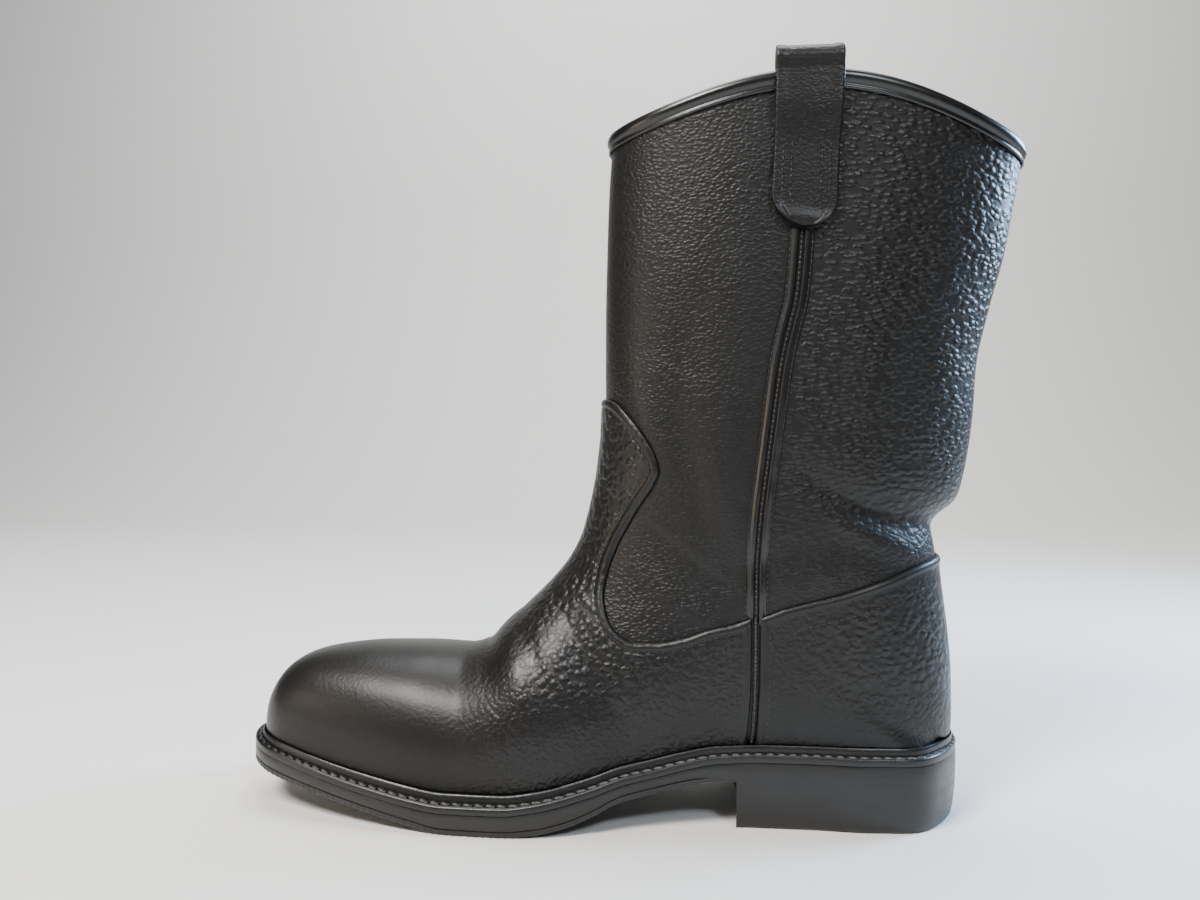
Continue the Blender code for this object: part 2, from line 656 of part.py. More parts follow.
def grid_faces(row_count, start, flip):
    """Triangles of a grid of points, turned over if flip is set.

    Every grid is split along the same diagonals, so that two of them at different
    distances off the upper stay parallel.
    """
    wide = SECTION_STEPS + 1
    faces = []
    for row in range(row_count - 1):
        for place in range(wide - 1):
            a = start + row * wide + place
            b = a + wide
            if place < wide // 2:
                pair = ((a, a + 1, b + 1), (a, b + 1, b))
            else:
                pair = ((a, a + 1, b), (a + 1, b + 1, b))
            faces += [face[::-1] if flip else face for face in pair]
    return faces


def make_upper(collection):
    """The upper's wall: open at the collar and along the feather line below."""
    rows = SOLID_ROWS
    wide = SECTION_STEPS + 1
    outside = grid_points(rows, 0.0).reshape(-1, 3)
    inside = grid_points(rows, -WALL).reshape(-1, 3)
    shift = len(outside)
    faces = grid_faces(len(rows), 0, False) + grid_faces(len(rows), shift, True)
    heel = int(np.argmin(np.abs(rows - HEEL_ROW / (ROW_COUNT - 1))))
    for row in range(heel):
        for place in (0, wide - 1):
            a = row * wide + place
            b = a + wide
            faces.append((a, b, shift + b, shift + a))
    top = (len(rows) - 1) * wide
    for place in range(wide - 1):
        a = top + place
        faces.append((a, a + 1, shift + a + 1, shift + a))
    made = mesh_object("upper", np.concatenate([outside, inside]), faces, collection)
    return finish(made, (0.022, 0.021, 0.021), 0.42)


def overlay_form(name, distance, last_row, drop, collection):
    """A filled form standing off the upper, from which the overlays are cut."""
    rows = SOLID_ROWS[SOLID_ROWS <= (last_row + 1e-6) / (ROW_COUNT - 1)]
    wide = SECTION_STEPS + 1
    points = grid_points(rows, distance)
    heel = int(np.argmin(np.abs(rows - HEEL_ROW / (ROW_COUNT - 1))))
    faces = grid_faces(len(rows), 0, False)
    top = (len(rows) - 1) * wide
    for place in range(wide // 2):
        a = top + place
        b = top + wide - 1 - place
        faces.append((a, a + 1, b - 1, b))
    low = len(rows) * wide
    below = points[:heel + 1, [0, -1]].copy()
    below[..., 2] -= drop
    for row in range(heel):
        left = row * wide
        right = row * wide + wide - 1
        low_left = low + 2 * row
        low_right = low_left + 1
        faces.append((left, left + wide, low_left + 2, low_left))
        faces.append((right, right + wide, low_right + 2, low_right))
        faces.append((low_left, low_right, low_right + 2, low_left + 2))
    faces = [tuple(dict.fromkeys(face)) for face in faces]
    faces = [face for face in faces if len(face) > 2]
    everything = np.concatenate([points.reshape(-1, 3), below.reshape(-1, 3)])
    made = mesh_object(name, everything, faces, collection)
    guide(made)
    return made


def guide(made):
    """Mark a cutter so that it is drawn as wire and left out of renders."""
    made.hide_render = True
    made.display_type = "WIRE"


def side_prism(name, line_x, line_z, collection):
    """A slab right through the boot with the given side-view outline."""
    reach = BALL_WIDTH
    loops = []
    for y in (-reach, reach):
        loops.append(np.stack([line_x, np.full(len(line_x), y), line_z], axis=-1))
    made = skin(name, loops, collection, caps="flat")
    guide(made)
    return made


def cut(made, cutter, operation):
    """Add one boolean step to an object."""
    step = made.modifiers.new(operation.lower(), "BOOLEAN")
    step.operation = operation
    step.object = cutter
    step.solver = "EXACT"


def make_overlay(name, outline, collection, cutters):
    """Cut an overlay between two forms of the upper by its outline in the side view."""
    outer = overlay_form(name, GAP + OVERLAY, 27, 0.0002, collection)
    inner = overlay_form(name + "_inner_form", GAP, 28, 0.004, cutters)
    prism = side_prism(name + "_outline", *outline, cutters)
    outer.hide_render = False
    outer.display_type = "TEXTURED"
    cut(outer, inner, "DIFFERENCE")
    cut(outer, prism, "INTERSECT")
    weld = outer.modifiers.new("weld", "WELD")
    weld.merge_threshold = MERGE
    facets = outer.modifiers.new("facets", "TRIANGULATE")
    facets.quad_method = "BEAUTY"
    facets.ngon_method = "BEAUTY"
    return finish(outer, (0.022, 0.021, 0.021), 0.38)


def overlay_outlines():
    """Side-view outlines of the vamp and the counter, parted by the side seam's slot."""
    low = -0.03
    half_slot = SLOT_WIDTH / 2
    seam_x, seam_z = side_line(0, SIDE_SEAM)
    corner_z = HEEL_SEAT + SHAFT_RISE * OVERLAY_CORNER_UP
    down = np.array([corner_z, (corner_z + HEEL_SEAT) / 2, HEEL_SEAT, low])
    seam_down = np.interp(down, seam_z, seam_x)
    vamp_x, vamp_z = side_line(0, VAMP_EDGE)
    counter_x, counter_z = side_line(0, COUNTER_EDGE)
    before = -0.05
    vamp = (np.concatenate([vamp_x, seam_down - half_slot, [before, before]]),
            np.concatenate([vamp_z, down, [low, vamp_z[0]]]))
    behind = counter_x[-1]
    counter = (np.concatenate([counter_x, [behind], (seam_down + half_slot)[::-1]]),
               np.concatenate([counter_z, [low], down[::-1]]))
    return vamp, counter


def strip(name, rows, side, shape, collection):
    """Sweep a cross-section of (across, height) points along the side seam."""
    middle = seam_around(rows, side)
    small = 1e-3
    slide = upper_point(rows, middle + small) - upper_point(rows, middle - small)
    pace = np.linalg.norm(slide, axis=1) / (2 * small)
    loops = []
    for row, centre, speed in zip(rows, middle, pace):
        around = centre + np.array([point[0] for point in shape]) / speed
        heights = np.array([point[1] for point in shape])
        loops.append(upper_offset(np.full(len(shape), row), around, heights))
    return skin(name, loops, collection, caps="flat")


def ridge_shape():
    """Two rounded ridges with a groove between them, from one edge to the other."""
    half = SEAM_WIDTH / 2
    groove = SEAM_GROOVE / 2
    middle = (half + groove) / 2
    right = [(groove, GAP + 0.35 * SEAM_HEIGHT), (middle - 0.25 * groove, GAP + SEAM_HEIGHT),
             (half - 0.5 * groove, GAP + 0.85 * SEAM_HEIGHT), (half, GAP)]
    left = [(-x, height) for x, height in right[::-1]]
    return left + right


def cord_shape():
    """A low rounded cord."""
    half = CORD_WIDTH / 2
    low = 2 * GAP
    side = low + 0.6 * CORD_HEIGHT
    return [(-half, low), (-half, side), (0, low + CORD_HEIGHT), (half, side), (half, low)]


def make_side_seam(side, collection):
    """Raised seam up the shaft, and the cord between vamp and counter below it."""
    corner = HEEL_SEAT + SHAFT_RISE * OVERLAY_CORNER_UP
    top_z = topline_height(side)
    first = seam_row_at(corner + SEAM_CLEAR, side)
    last = seam_row_at(top_z - STRAP_OUTSIDE - STRAP_CLEAR, side)
    rows = np.linspace(first, last, 12)
    shaft_seam = strip("shaft_seam_" + side, rows, side, ridge_shape(), collection)
    finish(shaft_seam, (0.024, 0.023, 0.023), 0.35)
    low = (FOOT_COUNT + 0.35) / (ROW_COUNT - 1)
    high = seam_row_at(corner + STRAP_CLEAR, side)
    rows = np.linspace(low, high, 8)
    cord = strip("foot_seam_cord_" + side, rows, side, cord_shape(), collection)
    finish(cord, (0.015, 0.015, 0.015), 0.6)


def topline_height(side):
    """Height of the wall's top edge at the side seam."""
    row = np.array([1.0])
    return float(upper_point(row, seam_around(row, side))[0, 2])


def rows_below_top(around, drop):
    """Sections that lie a height below the wall's top edge at the given places around."""
    rows = np.linspace(0.9, 1, 60)
    heights = upper_point(rows[:, None], around[None, :])[..., 2]
    found = [np.interp(column[-1] - drop, column, rows) for column in heights.T]
    return np.array(found)


def make_binding(collection):
    """Leather binding folded over the wall's top edge."""
    around = np.linspace(-1, 1, SECTION_STEPS + 1)[:-1]
    up = np.array([0.0, 0.0, 1.0])
    outside = GAP + BINDING_LEATHER
    inside = -WALL - GAP - BINDING_LEATHER
    shape = (
        (GAP, -BINDING_DROP), (outside, -BINDING_DROP), (1.15 * outside, -0.3 * BINDING_DROP),
        (0.85 * outside, 0.4 * BINDING_ROLL), (-0.2 * WALL, BINDING_ROLL),
        (-0.8 * WALL, BINDING_ROLL), (inside + 0.15 * outside, 0.4 * BINDING_ROLL),
        (inside - 0.15 * outside, -0.3 * BINDING_DROP), (inside, -BINDING_DROP),
        (-WALL - GAP, -BINDING_DROP), (-WALL - GAP, GAP), (GAP, GAP),
    )
    loops = []
    for out, rise in shape:
        rows = rows_below_top(around, max(-rise, 0.0))
        loops.append(upper_offset(rows, around, np.full(1, out)) + up * max(rise, 0.0))
    made = skin("top_binding", loops, collection, closed_path=True)
    return finish(made, (0.020, 0.020, 0.020), 0.4)


def make_strap(side, collection):
    """Pull strap: up the outside, over the topline as a loop, and down the inside."""
    top_z = topline_height(side)
    low_row = seam_row_at(top_z - STRAP_OUTSIDE, side)
    in_row = seam_row_at(top_z - STRAP_INSIDE, side)
    clear = 2 * GAP + 1.15 * (GAP + BINDING_LEATHER)
    stations = []
    for part in (0.0, 0.02, 0.06, 0.14, 0.3, 0.55, 0.8, 1.0):
        stand_off = GAP + (clear - GAP) * np.clip((part - 0.55) / 0.25, 0, 1)
        end = STRAP_OUTSIDE * part / STRAP_END_RADIUS
        narrow = np.sqrt(np.clip(1 - (1 - min(end, 1)) ** 2, 0.12, 1))
        stations.append((low_row + (1 - low_row) * part, stand_off, narrow))
    across = np.linspace(-0.5, 0.5, 5) * STRAP_WIDTH
    up = np.array([0.0, 0.0, 1.0])

    def leg(row, distance, narrow):
        rows = np.full(1, row)
        centre = seam_around(rows, side)
        small = 1e-3
        slide = upper_point(rows, centre + small) - upper_point(rows, centre - small)
        pace = float(np.linalg.norm(slide)) / (2 * small)
        around = centre + across * narrow / pace
        return upper_offset(np.full(len(across), row), around, distance)

    loops = []
    for row, stand_off, narrow in stations:
        near = leg(row, stand_off, narrow)
        far = leg(row, stand_off + STRAP_THICKNESS, narrow)
        loops.append(np.concatenate([near, far[::-1]]))
    out_foot = leg(1.0, clear, 1.0)
    in_foot = leg(1.0, -WALL - clear, 1.0)
    middle = (out_foot + in_foot) / 2
    half = (out_foot - in_foot) / 2
    reach = np.linalg.norm(half, axis=1, keepdims=True)
    outward = half / reach
    middle[:, 2] = middle[:, 2].mean()
    straight = STRAP_RISE - STRAP_SPREAD
    for angle in np.radians((0, 30, 60, 90, 120, 150, 180)):
        ray = outward * np.cos(angle) + up * np.sin(angle)
        centre = middle + up * straight
        near = centre + outward * np.cos(angle) * (reach + STRAP_SPREAD / 2)
        near = near + up * np.sin(angle) * (reach + STRAP_SPREAD / 2)
        loops.append(np.concatenate([near, (near + ray * STRAP_THICKNESS)[::-1]]))
    for part in (1.0, 0.75, 0.5, 0.25, 0.0):
        row = in_row + (1 - in_row) * part
        stand_off = GAP + (clear - GAP) * np.clip((part - 0.5) / 0.25, 0, 1)
        near = leg(row, -WALL - stand_off, 1.0)
        far = leg(row, -WALL - stand_off - STRAP_THICKNESS, 1.0)
        loops.append(np.concatenate([near, far[::-1]]))
    made = skin("pull_strap_" + side, loops, collection, caps="flat")
    return finish(made, (0.022, 0.021, 0.021), 0.4)


def stand_on_origin(objects):
    """Move every piece so that the origin is on the floor under the box's middle."""
    pieces = [item for item in objects if not item.hide_render]
    corners = []
    for item in pieces:
        for vertex in item.data.vertices:
            corners.append(vertex.co)
    corners = np.array(corners)
    middle = (corners.min(axis=0) + corners.max(axis=0)) / 2
    for item in objects:
        item.location = (-middle[0], -middle[1], 0.0)


def build():
    """Model the whole boot."""
    for item in list(bpy.data.objects):
        bpy.data.objects.remove(item)
    boot = bpy.data.collections.new("roper_boot")
    cutters = bpy.data.collections.new("cutters")
    for collection in (boot, cutters):
        bpy.context.scene.collection.children.link(collection)
    make_outsole(boot)
    make_heel(boot)
    make_welt(boot)
    make_insole(boot)
    make_upper(boot)
    vamp_outline, counter_outline = overlay_outlines()
    make_overlay("vamp", vamp_outline, boot, cutters)
    make_overlay("counter", counter_outline, boot, cutters)
    for side in ("lateral", "medial"):
        make_side_seam(side, boot)
        make_strap(side, boot)
    make_binding(boot)
    stand_on_origin(list(boot.objects) + list(cutters.objects))


build()
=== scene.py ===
import bmesh
import bpy
import numpy as np
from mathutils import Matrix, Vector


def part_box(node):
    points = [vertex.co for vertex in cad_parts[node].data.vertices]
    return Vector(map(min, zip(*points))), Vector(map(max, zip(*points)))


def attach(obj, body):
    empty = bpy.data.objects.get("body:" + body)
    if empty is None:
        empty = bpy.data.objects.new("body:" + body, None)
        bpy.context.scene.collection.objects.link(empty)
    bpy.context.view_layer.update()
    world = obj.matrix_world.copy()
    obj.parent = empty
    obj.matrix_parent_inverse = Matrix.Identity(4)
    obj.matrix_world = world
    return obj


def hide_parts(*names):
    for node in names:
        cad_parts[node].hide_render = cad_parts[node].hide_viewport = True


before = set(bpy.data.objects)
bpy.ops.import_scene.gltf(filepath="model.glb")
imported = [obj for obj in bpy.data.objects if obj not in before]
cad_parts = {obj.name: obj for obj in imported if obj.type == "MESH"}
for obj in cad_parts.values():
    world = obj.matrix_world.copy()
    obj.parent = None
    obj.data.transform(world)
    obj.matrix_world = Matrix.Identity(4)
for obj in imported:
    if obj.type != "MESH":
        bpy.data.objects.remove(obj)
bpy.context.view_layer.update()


# Lining
# Smooth tan leather that lines the shaft and the foot. It is closed over the last,
# so this section also holds the last's own shape, which every later piece follows.
SOLE_LENGTH = 0.3074
BALL_WIDTH = 0.104
TOE_RADIUS = 0.036
HEEL_RADIUS = 0.038
TOE_SPRING = 0.0174
HEEL_HEIGHT = 0.0192
SOLE_THICKNESS = 0.010
WELT_MARGIN = 0.010
TOE_MARGIN = 0.62
HEEL_MARGIN = 0.55
WALL = 0.0026
VAMP_RISE = 0.054
SHAFT_RISE = 0.262
SHAFT_WIDTH = 0.0736
SIDE_SCALLOP = 0.0190
GAP = 0.0003
LINING_THICKNESS = 0.0012
PLACE = np.array([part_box("outsole")[0][0], -0.00063, 0.0])

# outline: along, lateral half width, medial half width, welt margin
OUTLINE = np.array([
    (0.0300, 0.212, 0.222, 0.66), (0.0830, 0.303, 0.322, 0.74),
    (0.1662, 0.390, 0.418, 0.86), (0.2474, 0.450, 0.485, 0.94),
    (0.3317, 0.486, 0.510, 1.00), (0.4129, 0.495, 0.481, 1.00),
    (0.5042, 0.452, 0.413, 0.92), (0.5854, 0.399, 0.361, 0.85),
    (0.6666, 0.366, 0.346, 0.80), (0.7681, 0.370, 0.365, 0.76),
    (0.8696, 0.389, 0.389, 0.70), (0.9508, 0.317, 0.317, 0.60),
])
# side view of the sole: along, toe spring, heel lift, thickness
PROFILE = np.array([
    (0.0000, 1.000, 0.00, 1.00), (0.0455, 0.840, 0.00, 1.00), (0.1043, 0.655, 0.00, 0.96),
    (0.1561, 0.480, 0.00, 0.94), (0.2079, 0.310, 0.00, 0.96), (0.2667, 0.110, 0.00, 1.02),
    (0.3033, 0.000, 0.00, 1.10), (0.3845, 0.000, 0.00, 1.12), (0.4200, 0.000, 0.05, 1.16),
    (0.4657, 0.000, 0.19, 1.17), (0.5012, 0.000, 0.40, 1.06), (0.5337, 0.000, 0.64, 0.92),
    (0.5763, 0.000, 0.78, 0.90), (0.6179, 0.000, 0.91, 0.93), (0.6615, 0.000, 1.00, 0.97),
    (0.7275, 0.000, 1.00, 1.05), (1.0000, 0.000, 1.00, 1.06),
])
# sections of the foot: front, rise, bottom, swells, widest, front and back roundness
FOOT = np.array([
    (0.0000, 0.000, 0.0000, 1.03, 1.03, 0.70, 2.20, 2.2),
    (0.0007, 0.125, 0.0007, 1.03, 1.03, 0.70, 2.20, 2.2),
    (0.0037, 0.257, 0.0037, 1.03, 1.03, 0.70, 2.30, 2.3),
    (0.0143, 0.407, 0.0143, 1.03, 1.03, 0.72, 2.40, 2.3),
    (0.0360, 0.574, 0.0360, 1.03, 1.03, 0.74, 2.45, 2.3),
    (0.0660, 0.693, 0.0660, 1.03, 1.03, 0.76, 2.45, 2.3),
    (0.1110, 0.796, 0.1110, 1.03, 1.03, 0.78, 2.35, 2.3),
    (0.1718, 0.889, 0.1718, 1.03, 1.03, 0.78, 2.25, 2.3),
    (0.2361, 0.952, 0.2361, 1.03, 1.03, 0.78, 2.15, 2.3),
    (0.2969, 0.976, 0.2969, 1.03, 1.03, 0.77, 2.05, 2.3),
    (0.3307, 1.007, 0.3442, 1.04, 1.04, 0.76, 2.00, 2.3),
    (0.3578, 1.152, 0.3917, 1.05, 1.06, 0.74, 1.95, 2.3),
    (0.3950, 1.322, 0.4660, 1.07, 1.10, 0.72, 1.90, 2.3),
    (0.4322, 1.490, 0.5743, 1.10, 1.15, 0.70, 1.90, 2.3),
])
# sections of the shaft: front, its height, back, its height, half widths, and as above
SHAFT = np.array([
    (0.4609, 0.2860, 0.6959, 0.0000, 0.990, 0.940, 0.66, 1.90, 2.4),
    (0.4779, 0.3240, 0.8110, 0.0000, 0.978, 0.951, 0.60, 1.95, 2.6),
    (0.4869, 0.3590, 0.9080, 0.0000, 0.973, 0.957, 0.56, 2.00, 2.8),
    (0.4930, 0.3870, 0.9680, 0.0000, 0.973, 0.962, 0.54, 2.05, 2.9),
    (0.4965, 0.4080, 0.9917, 0.0000, 0.973, 0.962, 0.53, 2.05, 2.9),
    (0.4998, 0.4290, 1.0000, 0.0000, 0.973, 0.962, 0.52, 2.10, 2.9),
    (0.5026, 0.4542, 1.0037, 0.0458, 0.973, 0.962, 0.52, 2.10, 2.9),
    (0.5059, 0.4885, 1.0037, 0.1069, 0.973, 0.962, 0.52, 2.10, 2.8),
    (0.5080, 0.5229, 1.0010, 0.1603, 0.970, 0.962, 0.52, 2.10, 2.7),
    (0.5090, 0.5611, 0.9943, 0.2290, 0.967, 0.960, 0.51, 2.10, 2.6),
    (0.5090, 0.5992, 0.9888, 0.2863, 0.962, 0.957, 0.50, 2.10, 2.5),
    (0.5090, 0.6298, 0.9868, 0.3378, 0.957, 0.953, 0.50, 2.10, 2.4),
    (0.5090, 0.6489, 0.9953, 0.3588, 0.953, 0.951, 0.50, 2.10, 2.3),
    (0.5090, 0.6718, 1.0223, 0.3893, 0.951, 0.951, 0.50, 2.10, 2.2),
    (0.5093, 0.7023, 1.0358, 0.4427, 0.951, 0.951, 0.50, 2.10, 2.2),
    (0.5100, 0.7405, 1.0460, 0.5229, 0.951, 0.951, 0.50, 2.10, 2.2),
    (0.5110, 0.7824, 1.0511, 0.6031, 0.953, 0.953, 0.50, 2.10, 2.2),
    (0.5120, 0.8282, 1.0697, 0.6985, 0.957, 0.957, 0.50, 2.10, 2.2),
    (0.5133, 0.8779, 1.0900, 0.7824, 0.967, 0.967, 0.50, 2.10, 2.2),
    (0.5154, 0.9275, 1.1035, 0.8626, 0.978, 0.978, 0.50, 2.10, 2.2),
    (0.5174, 0.9656, 1.1119, 0.9160, 0.989, 0.989, 0.50, 2.10, 2.2),
    (0.5174, 0.9905, 1.1164, 0.9523, 1.000, 1.000, 0.50, 2.10, 2.2),
])
LAST_ROW = len(FOOT) + len(SHAFT) - 1
HEEL_ROW = (len(FOOT) + 5) / LAST_ROW
SCALLOP_ROW = (len(FOOT) + 14) / LAST_ROW
MARKS = np.linspace(0, 1, LAST_ROW + 1)
UP = np.array([0.0, 0.0, 1.0])
SIDES = ((-1, "lateral"), (1, "medial"))


def smooth(places, values, at):
    """Cubic through (places, values) whose slope at each point is the harmonic mean of
    its neighbours' slopes, or 0 at a turn, so it never overshoots."""
    step = np.diff(places)
    rise = np.diff(values) / step
    slope = np.concatenate([[rise[0]], np.zeros(len(places) - 2), [rise[-1]]])
    same = rise[:-1] * rise[1:] > 0
    total = np.where(same, rise[:-1] + rise[1:], 1.0)
    slope[1:-1] = np.where(same, 2 * rise[:-1] * rise[1:] / total, 0.0)
    cell = np.clip(np.searchsorted(places, at, side="right") - 1, 0, len(step) - 1)
    part = (at - places[cell]) / step[cell]
    back = 1 - part
    return (values[cell] * back ** 2 * (1 + 2 * part)
            + values[cell + 1] * part ** 2 * (1 + 2 * back)
            + step[cell] * part * back * (slope[cell] * back - slope[cell + 1] * part))


def sole_bottom(x):
    """Underside: toe spring times its share, plus heel height times its share."""
    along = np.clip(x / SOLE_LENGTH, 0, 1)
    return (TOE_SPRING * smooth(PROFILE[:, 0], PROFILE[:, 1], along)
            + HEEL_HEIGHT * smooth(PROFILE[:, 0], PROFILE[:, 2], along))


def sole_top(x):
    """Underside plus the sole's thickness there."""
    along = np.clip(x / SOLE_LENGTH, 0, 1)
    return sole_bottom(x) + SOLE_THICKNESS * smooth(PROFILE[:, 0], PROFILE[:, 3], along)


def half_width(turn, medial):
    """sin(turn) times a fullness: along is (1 - cos turn) / 2, and the fullness is the
    table's half width over that of a circle, ending at the toe's and heel's radii."""
    along = OUTLINE[:, 0]
    fullness = BALL_WIDTH * OUTLINE[:, 1 + medial] / (2 * np.sqrt(along * (1 - along)))
    ends = np.sqrt(np.array([TOE_RADIUS, HEEL_RADIUS]) * SOLE_LENGTH / 2)
    values = np.concatenate([ends[:1], fullness, ends[1:]])
    places = np.concatenate([[0.0], along, [1.0]])
    return np.sin(turn) * smooth(places, values, (1 - np.cos(turn)) / 2)


def margin(turn):
    """Distance from the sole's edge in to the upper."""
    places = np.concatenate([[0.0], OUTLINE[:, 0], [1.0]])
    values = np.concatenate([[TOE_MARGIN], OUTLINE[:, 3], [HEEL_MARGIN]])
    return WELT_MARGIN * smooth(places, values, (1 - np.cos(turn)) / 2)


def edge(turn, medial, inset):
    """Outline point, moved inward by inset across the outline's direction."""
    small = 1e-4
    y = half_width(turn, medial)
    run = SOLE_LENGTH * np.sin(turn) / 2
    spread = (half_width(turn + small, medial) - half_width(turn - small, medial)) / (2 * small)
    length = np.hypot(run, spread)
    x = SOLE_LENGTH * (1 - np.cos(turn)) / 2 + inset * spread / length
    return x, (2 * medial - 1) * (y - inset * run / length)


TURNS = np.linspace(0, np.pi, 1441)
FEATHER = [edge(TURNS, medial, margin(TURNS)) for medial in (0, 1)]
FEATHER_START = FEATHER[0][0][0]
FEATHER_LENGTH = FEATHER[0][0][-1] - FEATHER_START
HEEL_SEAT = float(sole_top(np.array(SOLE_LENGTH)))


def feather_x(share):
    """Distance from the toe tip of a share of the feather line."""
    return FEATHER_START + share * FEATHER_LENGTH


def across_rows(row, foot_column, shaft_column):
    """One column of both section tables, read smoothly; row runs from 0 to 1."""
    return smooth(MARKS, np.concatenate([FOOT[:, foot_column], SHAFT[:, shaft_column]]), row)


def upper_point(row, around):
    """Bent oval section: one superellipse quarter from the ridge to the widest place and
    one from there down, cut off at the feather line; around is -1 lateral to 1 medial.
    Each point lies at (cos, sin) of its angle over (cos^power + sin^power)^(1/power)."""
    row = np.clip(row, 0, 1)
    front_x = feather_x(across_rows(row, 0, 0))
    ridge = np.concatenate([
        sole_top(feather_x(FOOT[:, 0])) + GAP + VAMP_RISE * FOOT[:, 1],
        HEEL_SEAT + SHAFT_RISE * SHAFT[:, 1],
    ])
    front_z = smooth(MARKS, ridge, row)
    back_x = feather_x(across_rows(row, 2, 2))
    back_up = smooth(MARKS, np.concatenate([0 * FOOT[:, 0], SHAFT[:, 3]]), row)
    back_z = np.where(row <= HEEL_ROW, sole_top(back_x), HEEL_SEAT + SHAFT_RISE * back_up) + GAP
    widest = across_rows(row, 5, 6)
    foot_end = (len(FOOT) - 1) / LAST_ROW
    half = np.zeros(np.broadcast(row, around).shape)
    ending = np.zeros_like(half)
    for medial, on_side in ((0, around < 0), (1, around >= 0)):
        turn = np.interp(back_x, FEATHER[medial][0], TURNS)
        feather = np.abs(edge(turn, medial, margin(turn))[1]) * (row < HEEL_ROW - 1e-9)
        swell = smooth(MARKS[:len(FOOT)], FOOT[:, 3 + medial], np.minimum(row, foot_end))
        turn = np.interp(feather_x(FOOT[-1, 2]), FEATHER[medial][0], TURNS)
        last_half = FOOT[-1, 3 + medial] * np.abs(edge(turn, medial, margin(turn))[1])
        halves = np.concatenate([[last_half], SHAFT_WIDTH / 2 * SHAFT[:, 4 + medial]])
        shaft = smooth(MARKS[len(FOOT) - 1:], halves, np.maximum(row, foot_end))
        wide = np.where(row <= foot_end, feather * swell, np.maximum(shaft, feather * 1.01))
        half = np.where(on_side, wide, half)
        ending = np.where(on_side, feather, ending)
    back_power = across_rows(row, 7, 8)
    share = np.clip(ending / np.maximum(half, 1e-9), 0, 0.985)
    end_level = (1 - share ** back_power) ** (1 / back_power)
    angle = np.abs(around) * (np.pi - np.arctan2(share, end_level))
    rising = angle < np.pi / 2
    power = np.where(rising, across_rows(row, 6, 7), back_power)
    level, bulge = np.abs(np.cos(angle)), np.clip(np.sin(angle), 0, 1)
    size = (level ** power + bulge ** power) ** (1 / power)
    level, bulge = level / size, bulge / size
    down = np.where(rising, widest * (1 - level), widest + (1 - widest) * level / end_level)
    fade = np.clip((row - SCALLOP_ROW) / (1 - SCALLOP_ROW), 0, 1) ** 1.5
    wave = np.sin(np.pi * np.clip(down, 0, 1)) ** 1.3
    x = front_x + (back_x - front_x) * down
    y = np.sign(around) * half * bulge
    z = front_z + (back_z - front_z) * down + SIDE_SCALLOP * fade * wave
    return np.stack(np.broadcast_arrays(x, y, z), axis=-1)


def upper_normal(row, around):
    """Outward unit normal, level along the feather line and in the mirror plane."""
    small = 1e-4
    up = (upper_point(np.clip(row + small, 1e-6, 1), around)
          - upper_point(np.clip(row - small, 1e-6, 1), around))
    across = (upper_point(row, np.clip(around + small, -1, 1))
              - upper_point(row, np.clip(around - small, -1, 1)))
    normal = np.cross(up, across)
    end = (np.abs(around) > 1 - 1e-9) & (row >= HEEL_ROW - 1e-9)
    normal[..., 1] = np.where(end, 0, normal[..., 1])
    foot = (np.abs(around) > 1 - 1e-9) & (row <= HEEL_ROW + 1e-9)
    normal[..., 2] = np.where(foot, 0, normal[..., 2])
    tip = np.broadcast_to(row, end.shape) < 1e-9
    normal = np.where(tip[..., None], np.array([-1.0, 0.0, 0.0]), normal)
    return normal / np.maximum(np.linalg.norm(normal, axis=-1, keepdims=True), 1e-12)


# soft troughs and ridges in the side view: distance from the toe tip and height of the
# middle, direction in degrees, half length, half width, depth, all in millimetres
FOLDS = np.array([
    (270, 127, 162, 34, 5.5, -2.0), (266, 117, 156, 34, 5.0, 1.3),
    (262, 145, 150, 40, 9.0, 1.0), (238, 134, 150, 26, 5.0, -0.7),
    (176, 163, 118, 26, 7.0, 1.3), (190, 152, 100, 30, 6.5, -1.1),
    (206, 140, 96, 26, 7.0, 0.9), (192, 196, 80, 36, 9.0, -0.7),
    (222, 108, 20, 30, 6.0, -0.6), (234, 98, 14, 34, 6.0, 0.5),
    (232, 224, 100, 40, 14.0, -0.8), (262, 214, 84, 44, 12.0, 0.8),
    (172, 232, 90, 50, 12.0, 0.5), (286, 190, 70, 26, 8.0, -0.8),
    (296, 214, 76, 26, 9.0, 0.7), (180, 96, 140, 26, 4.0, 0.5),
    (279, 42.5, -33, 16, 4.5, 0.75), (112, 58, 104, 17, 3.4, -0.5),
    (104, 60, 100, 15, 3.0, 0.35), (121, 61, 110, 17, 3.2, 0.4),
    (128, 66, 116, 17, 2.8, -0.45), (96, 56, 96, 12, 2.4, -0.25),
])


def folded_point(row, around, height):
    """Upper point, moved out along the normal by height plus the folds, each fold being
    depth times two bell curves, one along its direction and one across it."""
    points = upper_point(row, around)
    x = points[..., 0, None] * 1000 - FOLDS[:, 0]
    z = points[..., 2, None] * 1000 - FOLDS[:, 1]
    turn = np.radians(FOLDS[:, 2])
    lengthways = x * np.cos(turn) + z * np.sin(turn)
    crossways = z * np.cos(turn) - x * np.sin(turn) + lengthways ** 2 / 260
    bells = np.exp(-(lengthways / FOLDS[:, 3]) ** 2 - (crossways / FOLDS[:, 4]) ** 2)
    folds = (bells * FOLDS[:, 5]).sum(axis=-1) / 1000
    out = upper_normal(row, around)
    moved = points + out * (height + folds)[..., None]
    at_feather = (np.abs(around) > 1 - 1e-9) & (row <= HEEL_ROW + 1e-9)
    moved[..., 2] = np.where(at_feather, sole_top(moved[..., 0]) + GAP, moved[..., 2])
    return moved


